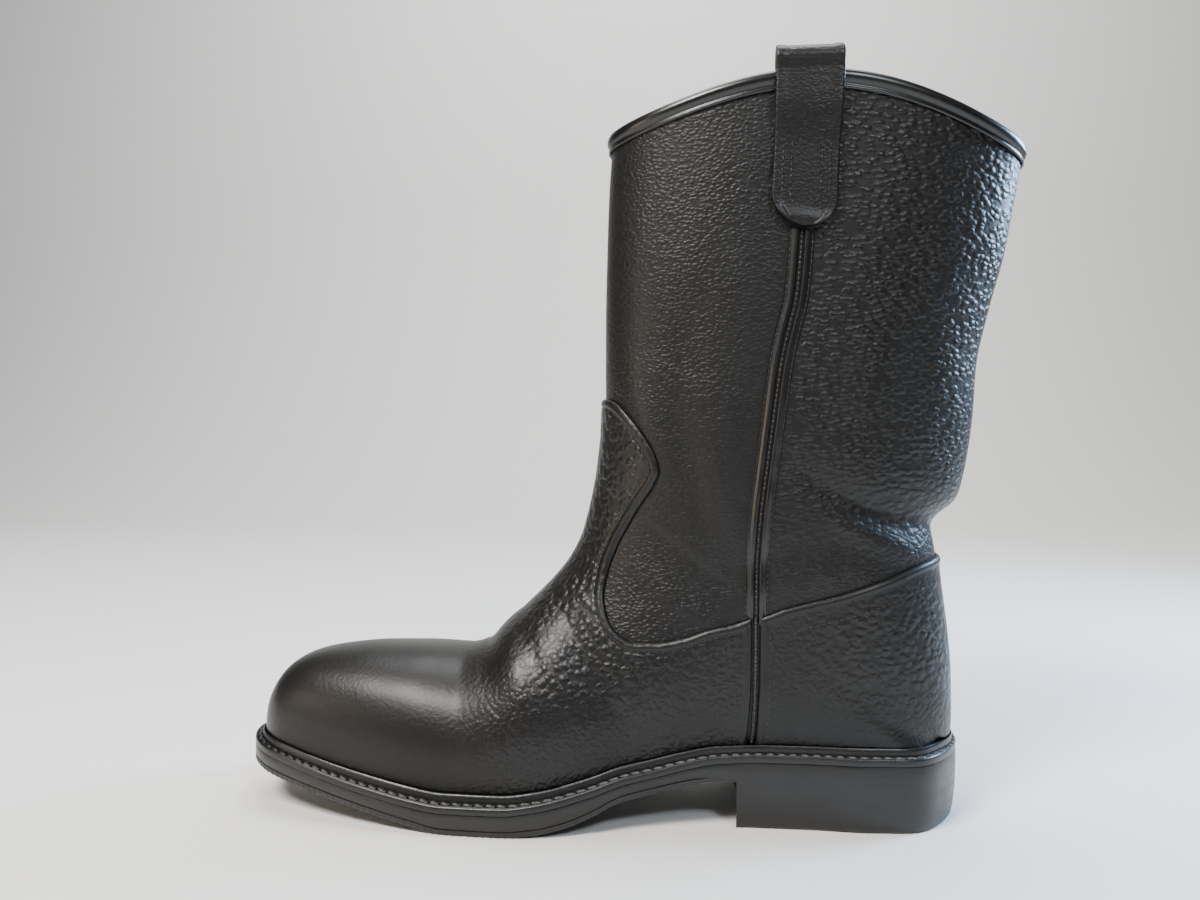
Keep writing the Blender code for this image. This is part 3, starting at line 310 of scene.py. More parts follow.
def even_rows(first, last, pace):
    """Rows whose sections lie at most a pace apart, along whichever side is longest."""
    fine = np.linspace(first, last, 900)
    grid = upper_point(fine[:, None], np.linspace(-1, 1, 41)[None, :])
    steps = np.linalg.norm(np.diff(grid, axis=0), axis=-1).max(axis=1)
    length = np.concatenate([[0], np.cumsum(steps)])
    return np.interp(np.linspace(0, length[-1], int(length[-1] / pace) + 2), length, fine)


def crossings(rows, ring):
    """Row and around of every crossing of a grid, one row after another."""
    return (part.ravel() for part in np.meshgrid(rows, ring, indexing="ij"))


def grid_triangles(rows, columns):
    """Two triangles for each cell of a grid, split alike on both halves."""
    a = (np.arange(rows - 1)[:, None] * columns + np.arange(columns - 1)[None, :]).ravel()
    b = a + columns
    return np.concatenate([np.stack([a, a + 1, b + 1], 1), np.stack([a, b + 1, b], 1)])


def triangle_sides(triangles):
    """Sides as pairs of points: every triangle's first side, then the second, the third."""
    return np.concatenate([triangles[:, [0, 1]], triangles[:, [1, 2]], triangles[:, [2, 0]]])


def keep_object(name, points, faces, material, replaces=(), values=None):
    """Put arrays into a mesh, merge its doubles, shade it smooth and hand it over."""
    mesh = bpy.data.meshes.new(name)
    mesh.from_pydata((points + PLACE).tolist(), [], faces)
    for key, numbers in (values or {}).items():
        mesh.attributes.new(key, "FLOAT", "POINT").data.foreach_set("value", numbers)
    work = bmesh.new()
    work.from_mesh(mesh)
    bmesh.ops.remove_doubles(work, verts=work.verts, dist=1e-7)
    bmesh.ops.recalc_face_normals(work, faces=work.faces)
    work.to_mesh(mesh)
    work.free()
    mesh.shade_smooth()
    mesh.set_sharp_from_angle(angle=np.radians(50))
    mesh.materials.append(material)
    made = bpy.data.objects.new(name, mesh)
    bpy.context.scene.collection.objects.link(made)
    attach(made, "root")
    if replaces:
        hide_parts(*replaces)


def shell(name, row, around, triangles, outer, inner, material, replaces=(), values=None):
    """Closed sheet of leather: a grid of the upper at two heights, with rim faces along
    every edge that only one triangle has. Points that coincide become one first."""
    top = folded_point(row, around, outer)
    _, kept, same = np.unique(np.round(top / 1e-7).astype(np.int64), axis=0,
                              return_index=True, return_inverse=True)
    triangles = same.ravel()[triangles]
    triangles = triangles[(np.diff(np.sort(triangles, axis=1), axis=1) > 0).all(axis=1)]
    top, under = top[kept], folded_point(row[kept], around[kept], inner[kept])
    sides = triangle_sides(triangles)
    _, first, count = np.unique(np.sort(sides, axis=1), axis=0,
                                return_index=True, return_counts=True)
    rim = sides[first[count == 1]]
    low = len(top)
    faces = triangles.tolist() + (triangles[:, ::-1] + low).tolist()
    faces += np.stack([rim[:, 1], rim[:, 0], rim[:, 0] + low, rim[:, 1] + low], 1).tolist()
    values = {key: np.tile(number[kept], 2) for key, number in (values or {}).items()}
    keep_object(name, np.concatenate([top, under]), faces, material, replaces, values)


def shader_tree(name):
    """A new material, its shader and two short ways to build its tree: add makes a node
    whose first inputs are the values or sockets given, and dress fills in the shader's
    colour from (mixing socket, low, high), its relief from (height, strength, distance)
    and its roughness."""
    material = bpy.data.materials.new(name)
    material.use_nodes = True
    tree = material.node_tree
    shader = tree.nodes["Principled BSDF"]

    def put(value, socket):
        if isinstance(value, bpy.types.NodeSocket):
            tree.links.new(value, socket)
        elif value is not None:
            socket.default_value = value

    def add(kind, *firsts, **settings):
        node = tree.nodes.new("ShaderNode" + kind)
        for key, value in settings.items():
            if hasattr(node, key):
                setattr(node, key, value)
            else:
                node.inputs[key.replace("_", " ")].default_value = value
        for value, socket in zip(firsts, node.inputs):
            put(value, socket)
        return node

    def dress(tint, relief, roughness):
        mix = add("Mix", tint[0], data_type="RGBA")
        mix.inputs[6].default_value = (*tint[1], 1)
        mix.inputs[7].default_value = (*tint[2], 1)
        bump = add("Bump", Strength=relief[1], Distance=relief[2])
        put(relief[0], bump.inputs["Height"])
        put(mix.outputs[2], shader.inputs["Base Color"])
        put(bump.outputs[0], shader.inputs["Normal"])
        put(roughness, shader.inputs["Roughness"])

    return material, shader, add, dress


def smooth_leather(name, colour, pale, roughness, bump):
    """Plain dressed leather: one noise tints and dulls it, a fine one gives the hair cells."""
    material, _, add, dress = shader_tree(name)
    place = add("TexCoord").outputs["Object"]
    cloud = add("TexNoise", place, Scale=45.0, Detail=3.0).outputs[0]
    pores = add("TexNoise", place, Scale=1300.0, Detail=2.0).outputs[0]
    dull = add("MapRange", cloud, To_Min=roughness - 0.07, To_Max=roughness + 0.09)
    dress((cloud, colour, pale), (pores, 0.6, bump), dull.outputs[0])
    return material


LINING_PACE = 2.4e-3
LINING_COLUMNS = 101
TAN = (0.20, 0.125, 0.07)
PALE_TAN = (0.29, 0.19, 0.11)
lining_leather = smooth_leather("lining_leather", TAN, PALE_TAN, 0.55, 0.0001)
rows = even_rows(0, 1, LINING_PACE)
ring = np.linspace(-1, 1, LINING_COLUMNS)
row, around = crossings(rows, ring)
shell("lining", row, around, grid_triangles(len(rows), LINING_COLUMNS),
      0 * row - WALL + LINING_THICKNESS, 0 * row - WALL, lining_leather)


# Insole
# Tan leather board on which the upper was lasted, bare to the foot. Its solid is right
# as it is, and only takes the leather's finish.
BOARD_TAN = (0.25, 0.155, 0.085)
BOARD_PALE = (0.36, 0.24, 0.14)
insole_leather = smooth_leather("insole_leather", BOARD_TAN, BOARD_PALE, 0.6, 0.0001)
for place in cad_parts["insole"].material_slots:
    place.material = insole_leather


# Shaft panels
# Two panels of black shrunken leather, the front one finely creased and the back one
# coarsely pebbled. They are closed along the sides and run down under vamp and counter.
SHAFT_LEATHER = 0.0013
UNDERLAP = 0.0065
SIDE_SEAM = np.array([
    (0.7129, 0.000), (0.7177, 0.084), (0.7197, 0.214), (0.7210, 0.292), (0.7265, 0.370),
    (0.7355, 0.449), (0.7445, 0.527), (0.7545, 0.607), (0.7645, 0.657), (0.7745, 0.704),
    (0.7820, 0.802), (0.7915, 1.050),
])
VAMP_EDGE = np.array([
    (0.4323, 0.5560), (0.5083, 0.5538), (0.5255, 0.5470), (0.5482, 0.5220),
    (0.5698, 0.4890), (0.5844, 0.4565), (0.5888, 0.4363), (0.5810, 0.4126),
    (0.5627, 0.3810), (0.5451, 0.3470), (0.5303, 0.3150), (0.5164, 0.2733),
    (0.5107, 0.2344), (0.5168, 0.2023), (0.5309, 0.1805), (0.5532, 0.1680),
    (0.5844, 0.1687), (0.6193, 0.1760), (0.6541, 0.1900), (0.6879, 0.1992),
])
COUNTER_EDGE = np.array([
    (0.7568, 0.2244), (0.7920, 0.2351), (0.8268, 0.2447), (0.8641, 0.2573),
    (0.9013, 0.2710), (0.9442, 0.2878), (0.9984, 0.3004), (1.0731, 0.3060),
])
CORNER_UP = 0.210
SLOT_WIDTH = 0.0032
# side-view places beyond the boot, to which the outlines of its panels are closed
UNDER_SOLE = -0.03
PAST_TOE = -0.05
PAST_HEEL = 0.40


def walked(points):
    """Length of the way from a line's first point to each of its points."""
    return np.concatenate([[0], np.cumsum(np.linalg.norm(np.diff(points, axis=0), axis=1))])


def unit(vectors):
    """Vectors divided by their own length."""
    return vectors / np.linalg.norm(vectors, axis=-1, keepdims=True)


def side_view(row, around):
    """Distance from the toe tip and height of points of the upper."""
    return upper_point(row, around)[:, [0, 2]]


def drawn_line(table, count=160):
    """Side-view line through a table's points, each coordinate smooth over the length."""
    line = np.stack([feather_x(table[:, 0]), HEEL_SEAT + SHAFT_RISE * table[:, 1]], 1)
    length = walked(line)
    at = np.linspace(0, length[-1], count)
    return np.stack([smooth(length, line[:, 0], at), smooth(length, line[:, 1], at)], 1)


def signed_distance(points, outline):
    """Distance in the side view to a closed outline, above 0 inside it: the nearest of
    all its segments, with the sign from the number of edges that a level ray crosses."""
    found = np.empty(len(points))
    start, end = outline, np.roll(outline, -1, axis=0)
    way = end - start
    size = np.maximum((way ** 2).sum(1), 1e-16)
    for piece in np.array_split(np.arange(len(points)), max(1, len(points) // 8000)):
        at = points[piece][:, None, :]
        part = np.clip(((at - start) * way).sum(-1) / size, 0, 1)
        near = np.linalg.norm(at - start - part[..., None] * way, axis=-1).min(axis=1)
        above = (start[:, 1] > at[..., 1]) != (end[:, 1] > at[..., 1])
        slope = way[:, 0] / np.where(way[:, 1] == 0, 1e-16, way[:, 1])
        crossing = start[:, 0] + slope * (at[..., 1] - start[:, 1])
        inside = (above & (at[..., 0] < crossing)).sum(axis=1) % 2 == 1
        found[piece] = np.where(inside, near, -near)
    return found


def cut_to_line(row, around, triangles, depth):
    """Keep the triangles where depth is above 0, cut where it passes through 0. Each
    crossed edge gets one new vertex, at depth / (depth - other depth) of its length."""
    data = np.stack([row, around, depth], 1)
    inside = depth > 0
    sides = np.sort(triangle_sides(triangles), axis=1)
    crossed = np.unique(sides[inside[sides[:, 0]] != inside[sides[:, 1]]], axis=0)
    low, high = data[crossed[:, 0]], data[crossed[:, 1]]
    part = np.clip(low[:, 2] / (low[:, 2] - high[:, 2]), 0.01, 0.99)[:, None]
    keys = crossed[:, 0] * len(data) + crossed[:, 1]

    def new_vertex(one, other):
        wanted = np.minimum(one, other) * len(data) + np.maximum(one, other)
        return len(data) + np.searchsorted(keys, wanted)

    count = inside[triangles].sum(axis=1)
    kept = [triangles[count == 3]]
    for number in (1, 2):
        some = triangles[count == number]
        lone = np.argmax(inside[some] == (number == 1), axis=1)
        turned = np.take_along_axis(some, (lone[:, None] + np.arange(3)) % 3, axis=1)
        b = new_vertex(turned[:, 0], turned[:, 1])
        c = new_vertex(turned[:, 0], turned[:, 2])
        if number == 1:
            kept.append(np.stack([turned[:, 0], b, c], 1))
        else:
            kept.append(np.stack([b, turned[:, 1], turned[:, 2]], 1))
            kept.append(np.stack([b, turned[:, 2], c], 1))
    data = np.concatenate([data, low + part * (high - low)])
    used, triangles = np.unique(np.concatenate(kept), return_inverse=True)
    data = data[used]
    return data[:, 0], data[:, 1], triangles.reshape(-1, 3), np.maximum(data[:, 2], 0)


def refine(row, around, triangles, outline, steps):
    """For each step's (reach, limit): split in two every edge longer than the limit that
    has an end within reach of the outline, and each triangle along its split edges."""
    depth = signed_distance(side_view(row, around), outline)
    for reach, limit in steps:
        sides = np.sort(triangle_sides(triangles), axis=1)
        keys, which = np.unique(sides[:, 0] * len(row) + sides[:, 1], return_inverse=True)
        which = which.reshape(3, -1).T
        edges = np.stack([keys // len(row), keys % len(row)], 1)
        points = upper_point(row, around)
        split = np.linalg.norm(points[edges[:, 0]] - points[edges[:, 1]], axis=1) > limit
        split &= np.abs(depth[edges]).min(axis=1) < reach
        middle = len(row) + np.cumsum(split) - 1
        new_row = row[edges[split]].mean(axis=1)
        new_around = around[edges[split]].mean(axis=1)
        new_depth = signed_distance(side_view(new_row, new_around), outline)
        row, around = np.concatenate([row, new_row]), np.concatenate([around, new_around])
        depth = np.concatenate([depth, new_depth])
        count = split[which].sum(axis=1)
        kept = [triangles[count == 0]]
        # corners t and middles of the sides m, turned so that the odd one comes first
        for number, pattern in (
            (1, ("t0 m0 t2", "m0 t1 t2")),
            (2, ("t0 t1 m1", "t0 m1 m2", "m2 m1 t2")),
            (3, ("t0 m0 m2", "m0 t1 m1", "m2 m1 t2", "m0 m1 m2")),
        ):
            some, its = triangles[count == number], which[count == number]
            lone = np.argmax(split[its] == (number != 2), axis=1)
            turned = (lone[:, None] + np.arange(3)) % 3
            corners = {"t": np.take_along_axis(some, turned, axis=1),
                       "m": middle[np.take_along_axis(its, turned, axis=1)]}
            kept += [np.stack([corners[at[0]][:, int(at[1])] for at in names.split()], 1)
                     for names in pattern]
        triangles = np.concatenate(kept)
    return row, around, triangles, depth


def panel(first, last, pace, outline, columns, steps=()):
    """A grid over part of the upper, made finer near a side-view outline and cut to it."""
    rows = even_rows(first, last, pace)
    row, around = crossings(rows, np.linspace(-1, 1, columns))
    grid = grid_triangles(len(rows), columns)
    return cut_to_line(*refine(row, around, grid, outline, steps))


seam_line = drawn_line(SIDE_SEAM, 80)
vamp_line = drawn_line(VAMP_EDGE)
counter_line = drawn_line(COUNTER_EDGE, 80)
corner_z = HEEL_SEAT + SHAFT_RISE * CORNER_UP
down = np.array([corner_z, (corner_z + HEEL_SEAT) / 2, HEEL_SEAT, UNDER_SOLE])


def seam_x(height):
    """Distance of the side seam from the toe tip, at a height."""
    return np.interp(height, seam_line[:, 1], seam_line[:, 0])


def beside(line, distance):
    """A line moved sideways, to the right of its direction."""
    way = unit(np.gradient(line, axis=0))
    return line + distance * np.stack([way[:, 1], -way[:, 0]], 1)


slot_x = seam_x(down)


BLACK = (0.0022, 0.0021, 0.0020)
# pale end of the pebbled leathers' colour, reached on the cell tops: partly rubbed wear, partly
# painted highlight
WORN_AND_PAINTED_HIGHLIGHT_BLACK = (0.0075, 0.0068, 0.0062)


def grained_leather(name, pebble, stretch, depth, roughness=0.38, gloss=0.10):
    """Shrunken leather: rounded cells from a bent cell pattern, in two sizes that the
    attribute coarse mixes, over a fine crackle; the attribute grain scales the relief.
    Cell tops are glossier, and paler in colour than the furrows between them: partly
    rubbed wear, partly painted highlight on the tops and painted shade in the furrows."""
    material, shader, add, dress = shader_tree(name)
    place = add("TexCoord").outputs["Object"]
    bend = add("TexNoise", place, Scale=230.0, Detail=2.0).outputs[1]
    middle = add("VectorMath", bend, (0.5, 0.5, 0.5), operation="SUBTRACT").outputs[0]
    sway = add("VectorMath", middle, operation="SCALE", Scale=0.55 * pebble).outputs[0]
    bent = add("VectorMath", place, sway, operation="ADD").outputs[0]
    pull = add("Mapping", bent, Scale=stretch).outputs[0]
    cells = []
    for size in (0.55 * pebble, pebble):
        cell = add("TexVoronoi", pull, feature="SMOOTH_F1", Scale=1 / size, Smoothness=0.22)
        slope = add("MapRange", cell.outputs["Distance"], From_Max=0.66).outputs[0]
        dome = add("Math", slope, slope, operation="MULTIPLY").outputs[0]
        cells.append(add("Math", 1.0, dome, operation="SUBTRACT").outputs[0])
    crackle = add("TexNoise", place, Scale=620.0, Detail=4.0, Roughness=0.6).outputs[0]
    cloud = add("TexNoise", place, Scale=38.0, Detail=3.0).outputs[0]
    coarse = add("Attribute", attribute_name="coarse").outputs["Fac"]
    grain = add("Attribute", attribute_name="grain").outputs["Fac"]
    mixed = add("Mix", coarse, None, *cells, data_type="FLOAT").outputs[0]
    relief = add("Math", mixed, grain, operation="MULTIPLY").outputs[0]
    fine = add("Math", crackle, 0.34, relief, operation="MULTIPLY_ADD").outputs[0]
    # colour mix: random cloud plus the cell height, so tops are painted paler (wear and painted
    # highlight) and furrows darker (painted shade)
    tops = add("Math", relief, 0.5, cloud, operation="MULTIPLY_ADD").outputs[0]
    dull = add("MapRange", tops, From_Min=0.3, From_Max=1.1,
               To_Min=roughness + 0.14, To_Max=roughness - 0.06)
    dress((tops, BLACK, WORN_AND_PAINTED_HIGHLIGHT_BLACK), (fine, 1.0, depth), dull.outputs[0])
    shader.inputs["Specular IOR Level"].default_value = 0.27
    shader.inputs["Coat Weight"].default_value = gloss
    shader.inputs["Coat Roughness"].default_value = 0.28
    return material


def ramp(value, low, high):
    """0 below low, 1 above high, smooth between."""
    part = np.clip((value - low) / (high - low), 0, 1)
    return part * part * (3 - 2 * part)


SHAFT_PACE = 1.5e-3
SHAFT_COLUMNS = 221
BACK_ROW = 6 / LAST_ROW
shaft_leather = grained_leather("shaft_leather", 0.0030, (0.78, 1.0, 1.25), 0.00046)
# the underlap follows the overlays' own lines, and a tab of it backs the slot
under_vamp = beside(vamp_line, UNDERLAP)[:-6]
under_counter = counter_line - (0.0, UNDERLAP)
tab = np.concatenate([np.stack([slot_x - UNDERLAP, down], 1),
                      np.stack([slot_x + UNDERLAP, down], 1)[::-1]])
tab_end = slot_x[0] + UNDERLAP + GAP
upper_seam = seam_line[seam_line[:, 1] > corner_z + 0.0005]
top_z = HEEL_SEAT + 1.3 * SHAFT_RISE
front_outline = np.concatenate([
    under_vamp, tab, upper_seam,
    [(seam_line[-1, 0], top_z), (PAST_TOE, top_z), (PAST_TOE, under_vamp[0, 1])],
])
back_outline = np.concatenate([
    upper_seam[::-1], [(tab_end, corner_z)], under_counter[under_counter[:, 0] > tab_end],
    [(PAST_HEEL, under_counter[-1, 1]), (PAST_HEEL, top_z), (seam_line[-1, 0], top_z)],
])
for name, outline in (("shaft_front", front_outline), ("shaft_back", back_outline)):
    row, around, triangles, depth = panel(BACK_ROW, 1, SHAFT_PACE, outline, SHAFT_COLUMNS)
    x, _, z = upper_point(row, around).T
    if name == "shaft_back":
        grain = 0.70 + 0.30 * ramp(z, 0.10, 0.15)
        coarse = 0.30 + 0.70 * ramp(z, 0.09, 0.14)
    else:
        patch = np.exp(-((x - 0.150) / 0.022) ** 2 - ((z - 0.165) / 0.030) ** 2)
        grain = 0.34 + 0.30 * patch + 0.12 * ramp(z, 0.20, 0.26) + 0.15 * ramp(-z, -0.13, -0.09)
        coarse = 0.10 + 0 * z
    grain *= 0.25 + 0.75 * ramp(depth, 0.004, 0.0075)
    shell(name, row, around, triangles, 0 * row, 0 * row - SHAFT_LEATHER, shaft_leather,
          ("upper",), {"grain": grain, "coarse": coarse})


# Vamp
# One overlay from the toe to its tongue on the shaft, lasted over the toe stiffener. The
# leather is plain at the toe, breaks over the ball and is heavily pebbled on the instep.
OVERLAY = 0.0014
EDGE_ROUND = 0.0016
STITCH_IN = (0.0038, 0.0095)
VAMP_PACE = 2.3e-3
OVERLAY_COLUMNS = 201
OVERLAY_TOP = 28 / LAST_ROW
# near an overlay's outline: within this distance of it, no edge is longer than this
EDGE_STEPS = ((0.0055, 0.0013), (0.0030, 0.0009), (0.0026, 0.0006))
vamp_leather = grained_leather("vamp_leather", 0.0033, (1.0, 1.0, 1.0), 0.00050, 0.34, 0.14)
vamp_outline = np.concatenate([
    vamp_line, np.stack([slot_x - SLOT_WIDTH / 2, down], 1),
    [(PAST_TOE, UNDER_SOLE), (PAST_TOE, vamp_line[0, 1])],
])


def overlay_height(depth, stitch_depth):
    """Rises from a third to the full thickness over the edge's rounding, with a swelling
    behind it and a shallow channel along each row of stitches."""
    rise = np.sqrt(1 - (1 - np.clip(depth / EDGE_ROUND, 0, 1)) ** 2)
    height = GAP + OVERLAY * (0.35 + 0.65 * rise)
    height += 0.00035 * np.exp(-((depth - 0.0020) / 0.0011) ** 2)
    for middle in stitch_depth:
        height -= 0.00028 * np.exp(-((depth - middle) / 0.0005) ** 2)
    return height


row, around, triangles, depth = panel(0, OVERLAY_TOP, VAMP_PACE, vamp_outline,
                                      OVERLAY_COLUMNS, EDGE_STEPS)
x, _, z = upper_point(row, around).T
over_ball = ramp(x - 0.35 * (z - 0.04), 0.078, 0.150)
instep = np.exp(-((x - 0.155 - 0.2 * (z - 0.09)) / 0.035) ** 2) * ramp(z, 0.035, 0.075)
low_side = ramp(-z, -0.062, -0.032)
grain = 0.05 + np.minimum(0.72 * over_ball + 0.40 * instep, 1) * (1 - 0.12 * low_side)
grain *= 0.3 + 0.7 * ramp(depth, 0.0030, 0.0050)
coarse = np.clip(0.1 + 0.9 * instep + 0.35 * ramp(x, 0.10, 0.14), 0, 1)
shell("vamp_overlay", row, around, triangles, overlay_height(depth, STITCH_IN[:1]),
      GAP + 0 * row, vamp_leather, ("vamp",),
      {"grain": grain, "coarse": coarse})


# Counter
# Overlay round the heel, over the heel stiffener: smooth at its foot, cracked into large
# pebbles in the middle and at the back.
COUNTER_PACE = 2.0e-3
counter_leather = grained_leather("counter_leather", 0.0034, (1.0, 1.0, 1.15), 0.00046,
                                  0.35, 0.12)
counter_outline = np.concatenate([
    counter_line, [(counter_line[-1, 0], UNDER_SOLE)],
    np.stack([slot_x + SLOT_WIDTH / 2, down], 1)[::-1],
])
row, around, triangles, depth = panel(BACK_ROW, OVERLAY_TOP, COUNTER_PACE, counter_outline,
                                      OVERLAY_COLUMNS, EDGE_STEPS)
x, _, z = upper_point(row, around).T
middle = np.exp(-((z - 0.074) / 0.030) ** 2) * ramp(x, 0.218, 0.258)
grain = (0.22 + 0.78 * middle) * (0.3 + 0.7 * ramp(depth, 0.0030, 0.0055))
coarse = np.clip(0.2 + 0.8 * middle, 0, 1)
shell("counter_overlay", row, around, triangles, overlay_height(depth, ()),
      GAP + 0 * row, counter_leather, ("counter",),
      {"grain": grain, "coarse": coarse})


# Upper stitching
# Black waxed thread through vamp and counter: a row behind the vamp's edge, a second one
# below it, one on the counter and one on each side of the cord between the two.
STITCH_LENGTH = 0.0018
STITCH_PITCH = 0.0025
STITCH_WIDTH = 0.00065


# a grid over each side of the upper: rows, arounds, and where they are in the side view
SIDE_GRIDS = {}
for side in (-1, 1):
    row, around = crossings(np.linspace(1e-3, 0.9999, 560), side * np.linspace(0.01, 0.99, 130))
    SIDE_GRIDS[side] = row, around, side_view(row, around).T


def find_on_upper(line, side):
    """Row and around of side-view points: the nearest point of the side's grid, then
    Newton steps on the two side-view coordinates."""
    row, around, grid = SIDE_GRIDS[side]
    near = np.concatenate([
        ((grid[:, None, :] - some[:, :, None]) ** 2).sum(axis=0).argmin(axis=1)
        for some in np.array_split(line.T, len(line) // 40 + 1, axis=1)
    ])
    row, around = row[near], around[near]
    small = 1e-5
    for _ in range(14):
        here = side_view(row, around)
        by_row = (side_view(row + small, around) - here) / small
        by_around = (side_view(row, around + small) - here) / small
        miss = line - here
        size = by_row[:, 0] * by_around[:, 1] - by_row[:, 1] * by_around[:, 0]
        size = np.where(np.abs(size) < 1e-7, 1e-7, size)
        step_row = (miss[:, 0] * by_around[:, 1] - miss[:, 1] * by_around[:, 0]) / size
        step_around = (by_row[:, 0] * miss[:, 1] - by_row[:, 1] * miss[:, 0]) / size
        row = np.clip(row + np.clip(step_row, -0.01, 0.01), 1e-4, 0.9999)
        outward = side * around + np.clip(side * step_around, -0.02, 0.02)
        around = side * np.clip(outward, 0.003, 0.997)
    return row, around


def paced(points, pitch):
    """Points at an even pitch along a line."""
    length = walked(points)
    at = np.arange(pitch / 2, length[-1], pitch)
    return np.stack([np.interp(at, length, column) for column in points.T], 1)


def tube_faces(count, size, closed_path=False):
    """Four-sided faces between each loop and the next, the loops having size points."""
    ring = np.arange(size)
    turned = (ring + 1) % size
    steps = np.arange(count if closed_path else count - 1)[:, None]
    here, there = steps * size, (steps + 1) % count * size
    return np.stack([here + ring, here + turned, there + turned, there + ring], 2).reshape(-1, 4)


def stitch_mesh(centres, along, out, length, width, height):
    """One flattened six-sided grain per stitch: six rings at t from -1 to 1 along it,
    each an ellipse of width and height times the root of 1 - 0.92 t squared."""
    across = np.cross(along, out)
    t = np.linspace(-1, 1, 6)[None, :, None, None]
    turn = (np.arange(6) * np.pi / 3)[None, None, :, None]
    size = np.sqrt(1 - 0.92 * t ** 2)
    points = (centres[:, None, None, :] + along[:, None, None, :] * t * length / 2
              + across[:, None, None, :] * np.cos(turn) * size * width / 2
              + out[:, None, None, :] * np.sin(turn) * size * height / 2)
    starts = 36 * np.arange(len(centres))[:, None]
    faces = (tube_faces(6, 6)[None] + starts[:, None]).reshape(-1, 4).tolist()
    faces += (np.arange(6) + starts).tolist() + (np.arange(30, 36) + starts).tolist()
    return points.reshape(-1, 3), faces


def thread_finish(name, colour, roughness):
    """Waxed thread: a twist of fine bands along the upright, painted darker in the grooves
    between them as painted shade, with a dull sheen.
    """
    material, _, add, dress = shader_tree(name)
    place = add("TexCoord").outputs["Object"]
    twist = add("TexWave", place, Scale=700.0, Distortion=2.0).outputs["Fac"]
    # the twist's low bands get half the colour: painted shade in the grooves between the strands
    dark = [0.5 * part for part in colour]
    dress((twist, dark, colour), (twist, 0.5, 0.0001), roughness)
    return material


def sew_rows(name, lines, height, pitch=STITCH_PITCH, length=STITCH_LENGTH, width=STITCH_WIDTH):
    """Rows of stitches on both sides of the upper, one for each side-view line."""
    sewn = []
    for line in lines:
        for side in (-1, 1):
            row, around = find_on_upper(paced(line, pitch), side)
            centres = folded_point(row, around, np.full(len(row), height))
            out = upper_normal(row, around)
            along = np.gradient(centres, axis=0)
            along -= (along * out).sum(1, keepdims=True) * out
            sewn.append((centres, unit(along), out))
    centres, along, out = (np.concatenate(part) for part in zip(*sewn))
    points, faces = stitch_mesh(centres, along, out, length, width, 0.8 * width)
    keep_object(name, points, faces, black_thread)


black_thread = thread_finish("black_thread", (0.017, 0.016, 0.015), 0.42)
behind_edge = beside(vamp_line, STITCH_IN[0])
behind_edge = behind_edge[behind_edge[:, 0] > vamp_line[4, 0]]
low_part = vamp_line[vamp_line[:, 1] < HEEL_SEAT + 0.205 * SHAFT_RISE]
second_row = beside(low_part, STITCH_IN[1])
counter_row = beside(counter_line, STITCH_IN[1])[2:-12]
foot_z = np.linspace(corner_z - 0.006, HEEL_SEAT + 0.005, 30)
foot_x = seam_x(foot_z)
beside_cord = [np.stack([foot_x + shift, foot_z], 1) for shift in (-0.0039, 0.0056)]
sew_rows("upper_stitches", [behind_edge, second_row, counter_row, *beside_cord],
         GAP + OVERLAY + 0.00002)


# Side seams
# Up each side the panels' edges are folded back over a filler and sewn down, so two
# smooth rolls stand beside a dark groove in which the closing thread shows.
SEAM_TOP_GAP = 0.0625
BLACK_SHEEN = (0.0060, 0.0056, 0.0052)
piping_leather = smooth_leather("piping_leather", BLACK, BLACK_SHEEN, 0.30, 0.00006)


def swept(name, loops, material, replaces, closed_path=False, values=None):
    """Body from a row of closed loops, capped at its ends unless the path is closed."""
    count, size = loops.shape[:2]
    faces = tube_faces(count, size, closed_path).tolist()
    if not closed_path:
        ring = np.arange(size)
        faces += [ring.tolist(), (ring + (count - 1) * size).tolist()]
    keep_object(name, loops.reshape(-1, 3), faces, material, replaces, values)


def seam_place(line, side, across):
    """Row and around of points across a side-view line: the distance across is divided by
    how far the surface moves for one unit of around."""
    row, around = find_on_upper(line, side)
    small = 1e-3
    slide = upper_point(row, around + small) - upper_point(row, around - small)
    pace = np.linalg.norm(slide, axis=1) / (2 * small)
    ring = around[:, None] + across / pace[:, None]
    return np.broadcast_to(row[:, None], ring.shape), ring


def along_seam(line, side, shape):
    """Loops of (across, height) points along a side-view line."""
    row, ring = seam_place(line, side, shape[None, :, 0])
    return folded_point(row, ring, np.broadcast_to(shape[None, :, 1], ring.shape))


def topline(side):
    """Height of the wall's top edge above the side seam."""
    tries = side * np.linspace(0.2, 0.8, 600)
    points = upper_point(np.ones(600), tries)
    miss = np.abs(points[:, 0] - seam_x(points[:, 2]))
    return points[np.argmin(miss), 2]


# right half of the profile: distance from the groove, height
HALF_PROFILE = np.array([
    (0.0004, -0.0004), (0.0009, 0.0000), (0.0012, 0.0008), (0.0016, 0.00125), (0.0022, 0.0014),
    (0.0029, 0.0012), (0.0035, 0.0008), (0.0040, 0.00045), (0.0044, 0.00035), (0.0049, 0.00045),
    (0.0052, 0.0001),
])
profile = np.concatenate([HALF_PROFILE[::-1] * (-1, 1), HALF_PROFILE,
                          [(0.0050, -0.0003), (-0.0050, -0.0003)]])
tall = np.linspace(corner_z - 0.0015, topline(-1) - SEAM_TOP_GAP, 150)
seam_path = np.stack([seam_x(tall), tall], 1)
for side, name in SIDES:
    swept("seam_rolls_" + name, along_seam(seam_path, side, profile), piping_leather,
          ("shaft_seam_" + name,))
sew_rows("seam_stitches", [seam_path + (0.0044, 0), seam_path - (0.0044, 0)], 0.00045)
sew_rows("seam_closing_thread", [seam_path], 0.0002, 0.0021, 0.0017, 0.0010)


